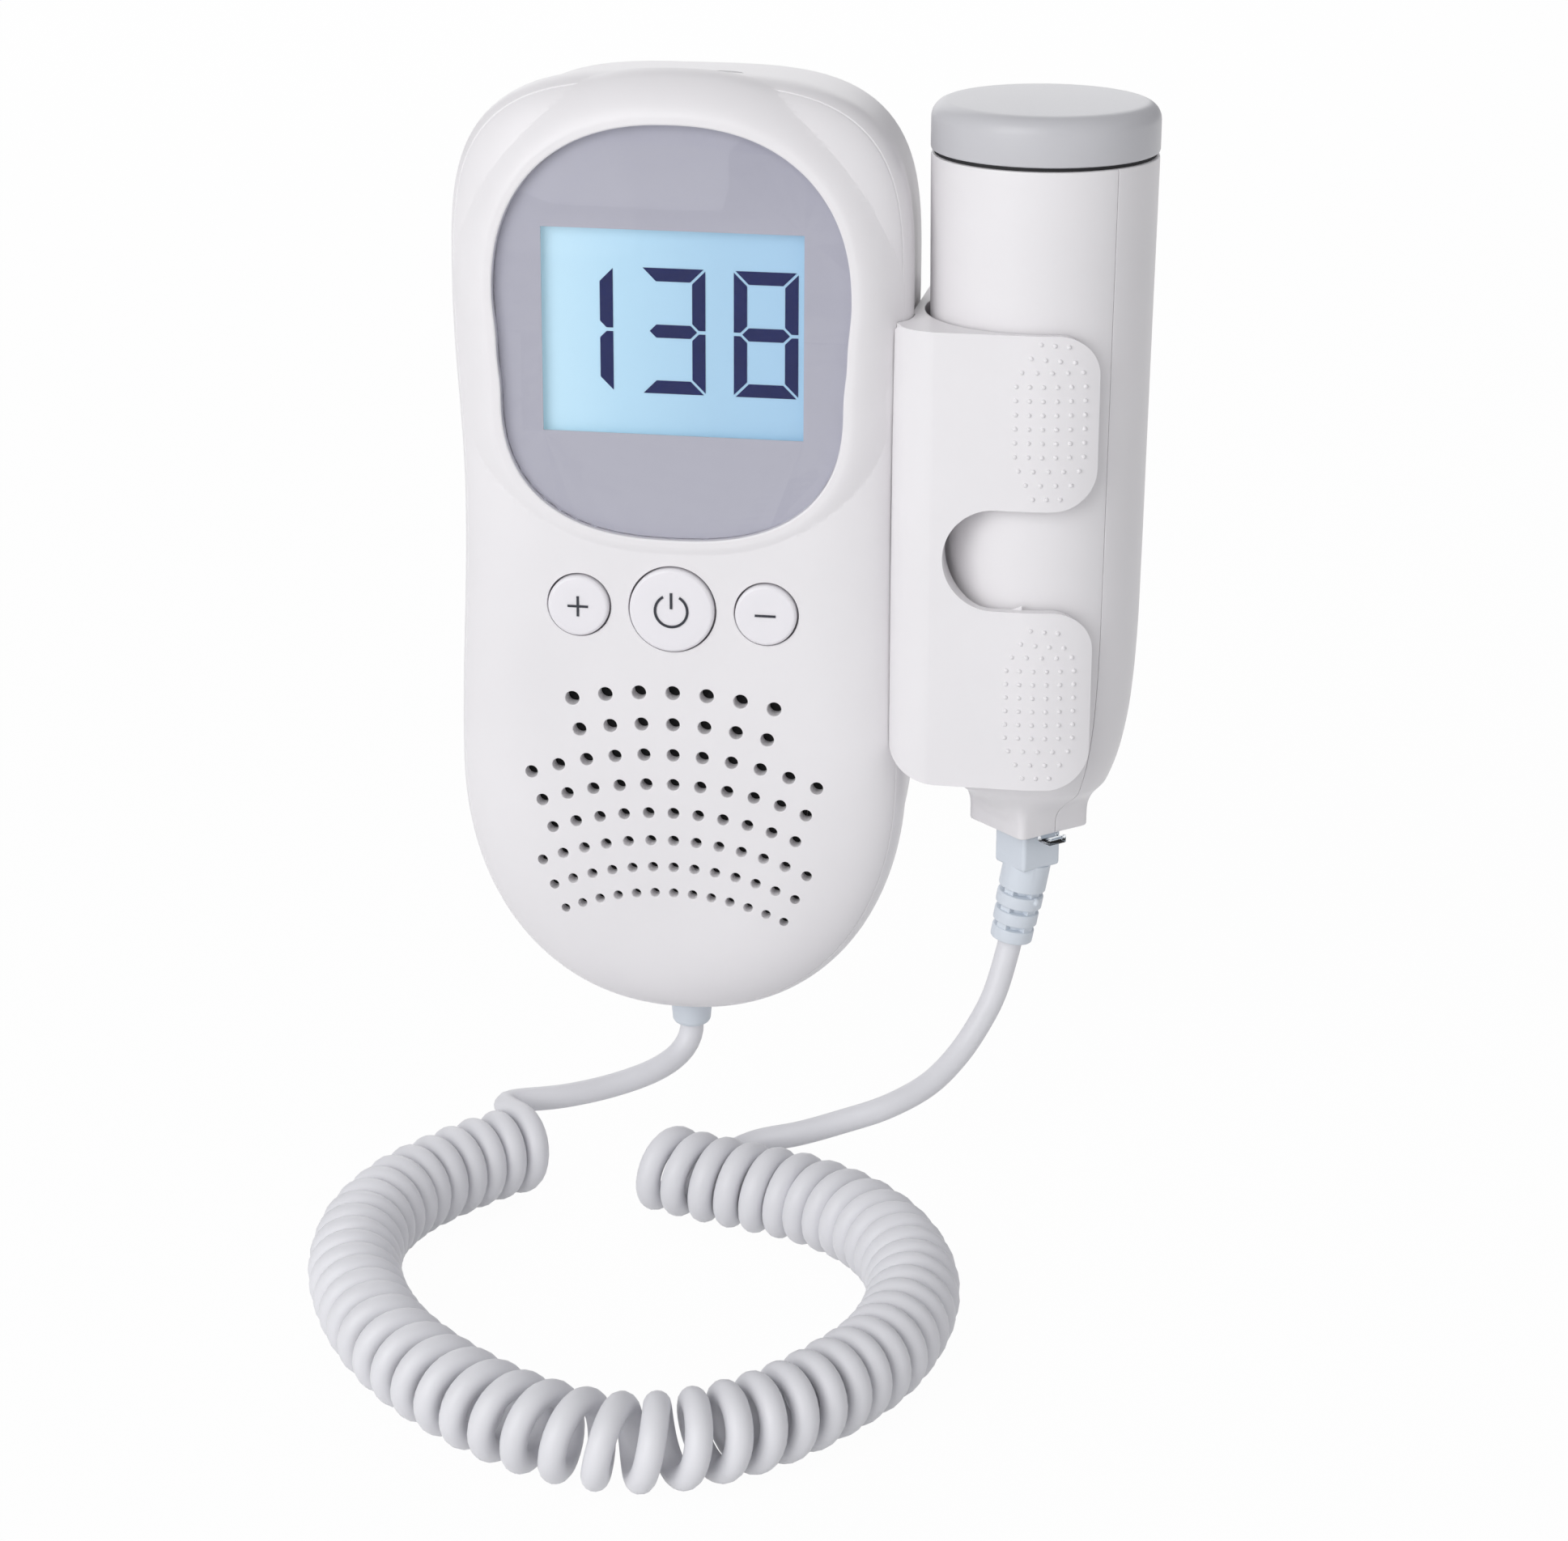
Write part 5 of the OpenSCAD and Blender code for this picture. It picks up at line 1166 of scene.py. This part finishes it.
def latch(bm):
    half = LATCH_T / 2
    foot_top = LATCH_FOOT_Z + LATCH_T
    outline = [(LATCH_ROOT - half, LATCH_ROOT_Z), (LATCH_ROOT + half, LATCH_ROOT_Z),
               (LATCH_FOOT + half, foot_top + 0.5), (LATCH_FOOT + half + 0.5, foot_top),
               (LATCH_REACH - LATCH_T, foot_top), (LATCH_REACH - LATCH_T, LATCH_FOOT_Z + LATCH_HOOK),
               (LATCH_REACH, LATCH_FOOT_Z + LATCH_HOOK), (LATCH_REACH, LATCH_FOOT_Z),
               (LATCH_FOOT - half, LATCH_FOOT_Z)]
    raised(bm, [(x, -LATCH_W / 2, z) for x, z in outline], 1, LATCH_W / 2)
    bevel_all(bm, 0.12, 2)


def make_plug():
    housing = shape(soft_block, PLUG_HALF, RELIEF_TOP_Z, PLUG_TOP_Z, 0.25, 3)
    cut(housing, contact_blocks, -1, CONTACT_DEEP + 0.05, CONTACT_W / 2 + 0.05, -CONTACT_LEN, 1)
    plug = dress(onto_probe(housing), "plug_housing", "probe", "plug_clear", "plug_body")

    def contacts(bm):
        contact_blocks(bm, 0.06, CONTACT_DEEP, CONTACT_W / 2, 0.06 - CONTACT_LEN, -0.06)
        bevel_all(bm, 0.06, 2)

    pins = dress(onto_probe(shape(contacts)), "plug_gold_contacts", "probe", "contact_gold", "plug_contacts")
    hook = onto_probe(shape(latch))
    ends = [(LATCH_ROOT, side * (LATCH_W / 2 + 0.02), LATCH_ROOT_Z) for side in (-1, 1)]
    combine(hook, onto_probe(shape(bar, *ends, LATCH_T / 2, segments=24)), "UNION")
    dress(hook, "plug_latch_hook", "plug_latch", "plug_clear", "plug_latch")

    root_z = RELIEF_TOP_Z - RELIEF_BLOCK_H
    relief = onto_probe(shape(soft_block, RELIEF_HALF, root_z, RELIEF_TOP_Z, 0.55, 5))
    way = Vector((-sin(RELIEF_LEAN), 0, -cos(RELIEF_LEAN)))
    root = Vector((PROBE_X, PROBE_Y, root_z))
    join(relief, relief_rings, root, way)
    join(relief, relief_webs, root)
    nub = root + 5.4 * way + Vector((2.5, -1.9, 0))
    join(relief, bmesh.ops.create_icosphere, subdivisions=3, radius=0.62, matrix=Matrix.Translation(nub))
    relief_piece = dress(relief, "plug_strain_relief", "probe", "relief_grey", "plug_overmould")
    weigh_normals(relief_piece)
    return [plug, pins, hook, relief_piece]


def make_gland():
    top = 0.5 - HALF_H
    tip = top - 5.6
    profile = [(0, tip - 0.15), (1.75, tip - 0.12), *arc(1.8, tip + 1, 1, -90, 0, 8),
               (3.2, top), (2.3, top), (2.3, top + 2.6), (3.6, top + 2.6), (3.6, top + 4), (0, top + 4)]
    gland = shape(turned, profile, (0, GLAND_Y, 0), steps=96)
    dress(gland, "cord_exit_gland", "unit", "relief_grey", "cord_gland")


SCREW_PROFILE = [(0, -8.85), (1.5, -8.9), (2.15, -9.15), (2.4, -9.55), (2.4, -10), (1.1, -10), (1.1, -26.6),
                 (0.7, -27.5), (0, -27.5)]


def make_case_screws():
    """Cross-head screws, each turned a little further; one arm of the crosses is cut at a time."""
    def bodies(bm):
        for x, z in SCREW_PLACES:
            turned(bm, SCREW_PROFILE, (x, 0, z), ALONG_Y, 48)

    def arms(bm, first):
        for k, (x, z) in enumerate(SCREW_PLACES):
            place = Matrix.Translation((x, 0, z)) @ Matrix.Rotation(radians(first + 37 * k), 4, "Y")
            box = block(bm, (-1.35, -9.9, -0.28), (1.35, -8, 0.28))
            bmesh.ops.transform(bm, matrix=place, verts=box)

    screws = shape(bodies)
    for first in (20, 110):
        cut(screws, arms, first)
    dress(screws, "case_cross_screws", "unit", "steel", "case_screws")


# Floor, light and view

LAMPS = [("key_softbox", (-0.55, -1.25, 0.55), 1.1, 10.8), ("low_softbox", (-0.7, -1.0, -0.05), 0.8, 1.8),
         ("right_fill", (1.1, -0.8, 0.25), 0.9, 1.0), ("back_fill", (-0.3, 1.1, 0.5), 1.0, 4.0)]
LAMPS_AIM = Vector((0, 0, -0.02))
WORLD_LIGHT = 0.42
FLOOR_GLOW = 0.97
FLOOR_HALF = 15
FLOOR_GAP = 0.0002


def seen_rays(tree):
    """1 for rays from the camera and for mirror and clear rays, 0 for the rest."""
    rays = add(tree, "LightPath").outputs
    return add_math(tree, "MAXIMUM", rays["Is Camera Ray"],
                    add_math(tree, "MAXIMUM", rays["Is Glossy Ray"], rays["Is Transmission Ray"]))


def make_floor():
    """Pale floor that takes soft shadows and shows nearly white."""
    bm = bmesh.new()
    bmesh.ops.create_grid(bm, x_segments=1, y_segments=1, size=FLOOR_HALF)
    for vert in bm.verts:
        vert.co.z = cad_box[0][2] - FLOOR_GAP
    floor = solid(bm, "floor")
    material, tree, shader = bare_material("pale_floor")
    fill(tree, shader, {"Base Color": (0.86, 0.86, 0.865, 1), "Roughness": 0.8})
    glow = add(tree, "Emission", {"Color": (1, 1, 1, 1)})
    mixed_surface(tree, add_math(tree, "MULTIPLY", seen_rays(tree), FLOOR_GLOW), shader.outputs["BSDF"],
                  glow.outputs["Emission"])
    floor.data.materials.append(material)


def make_world():
    world = bpy.data.worlds.new("studio")
    bpy.context.scene.world = world
    world.use_nodes = True
    tree = world.node_tree
    soft = tree.nodes["Background"]
    fill(tree, soft, {"Color": (0.975, 0.975, 1.0, 1), "Strength": WORLD_LIGHT})
    white = add(tree, "Background", {"Color": (1, 1, 1, 1), "Strength": 1})
    rays = add(tree, "LightPath").outputs
    mixed_surface(tree, rays["Is Camera Ray"], soft.outputs["Background"], white.outputs["Background"],
                  "World Output")


def make_lamps():
    for name, at, size, watts in LAMPS:
        data = bpy.data.lights.new(name, "AREA")
        data.shape = "SQUARE"
        data.size = size
        data.energy = watts
        lamp = in_scene(name, data)
        turn = (LAMPS_AIM - Vector(at)).to_track_quat("-Z", "Y").to_matrix().to_4x4()
        lamp.matrix_world = Matrix.Translation(at) @ turn


make_camera()
scene = bpy.context.scene
scene.view_settings.view_transform = "Standard"
dress_cad_nodes()
cord, cord_centres = make_cord()
plug_pieces = make_plug()
make_gland()
make_front_shell()
make_rear_shell()
make_speaker_shade_sheet()
make_battery_door()
make_window()
for key, x, r in (("power", 0, POWER_R), ("plus", -KEY_PITCH, STEP_R), ("minus", KEY_PITCH, STEP_R)):
    make_key(key + "_button_cap", key + "_button", x, r, key + "_key")
make_case_screws()
make_probe_shells()
make_probe_cap()
make_holder()
make_floor()
make_world()
make_lamps()
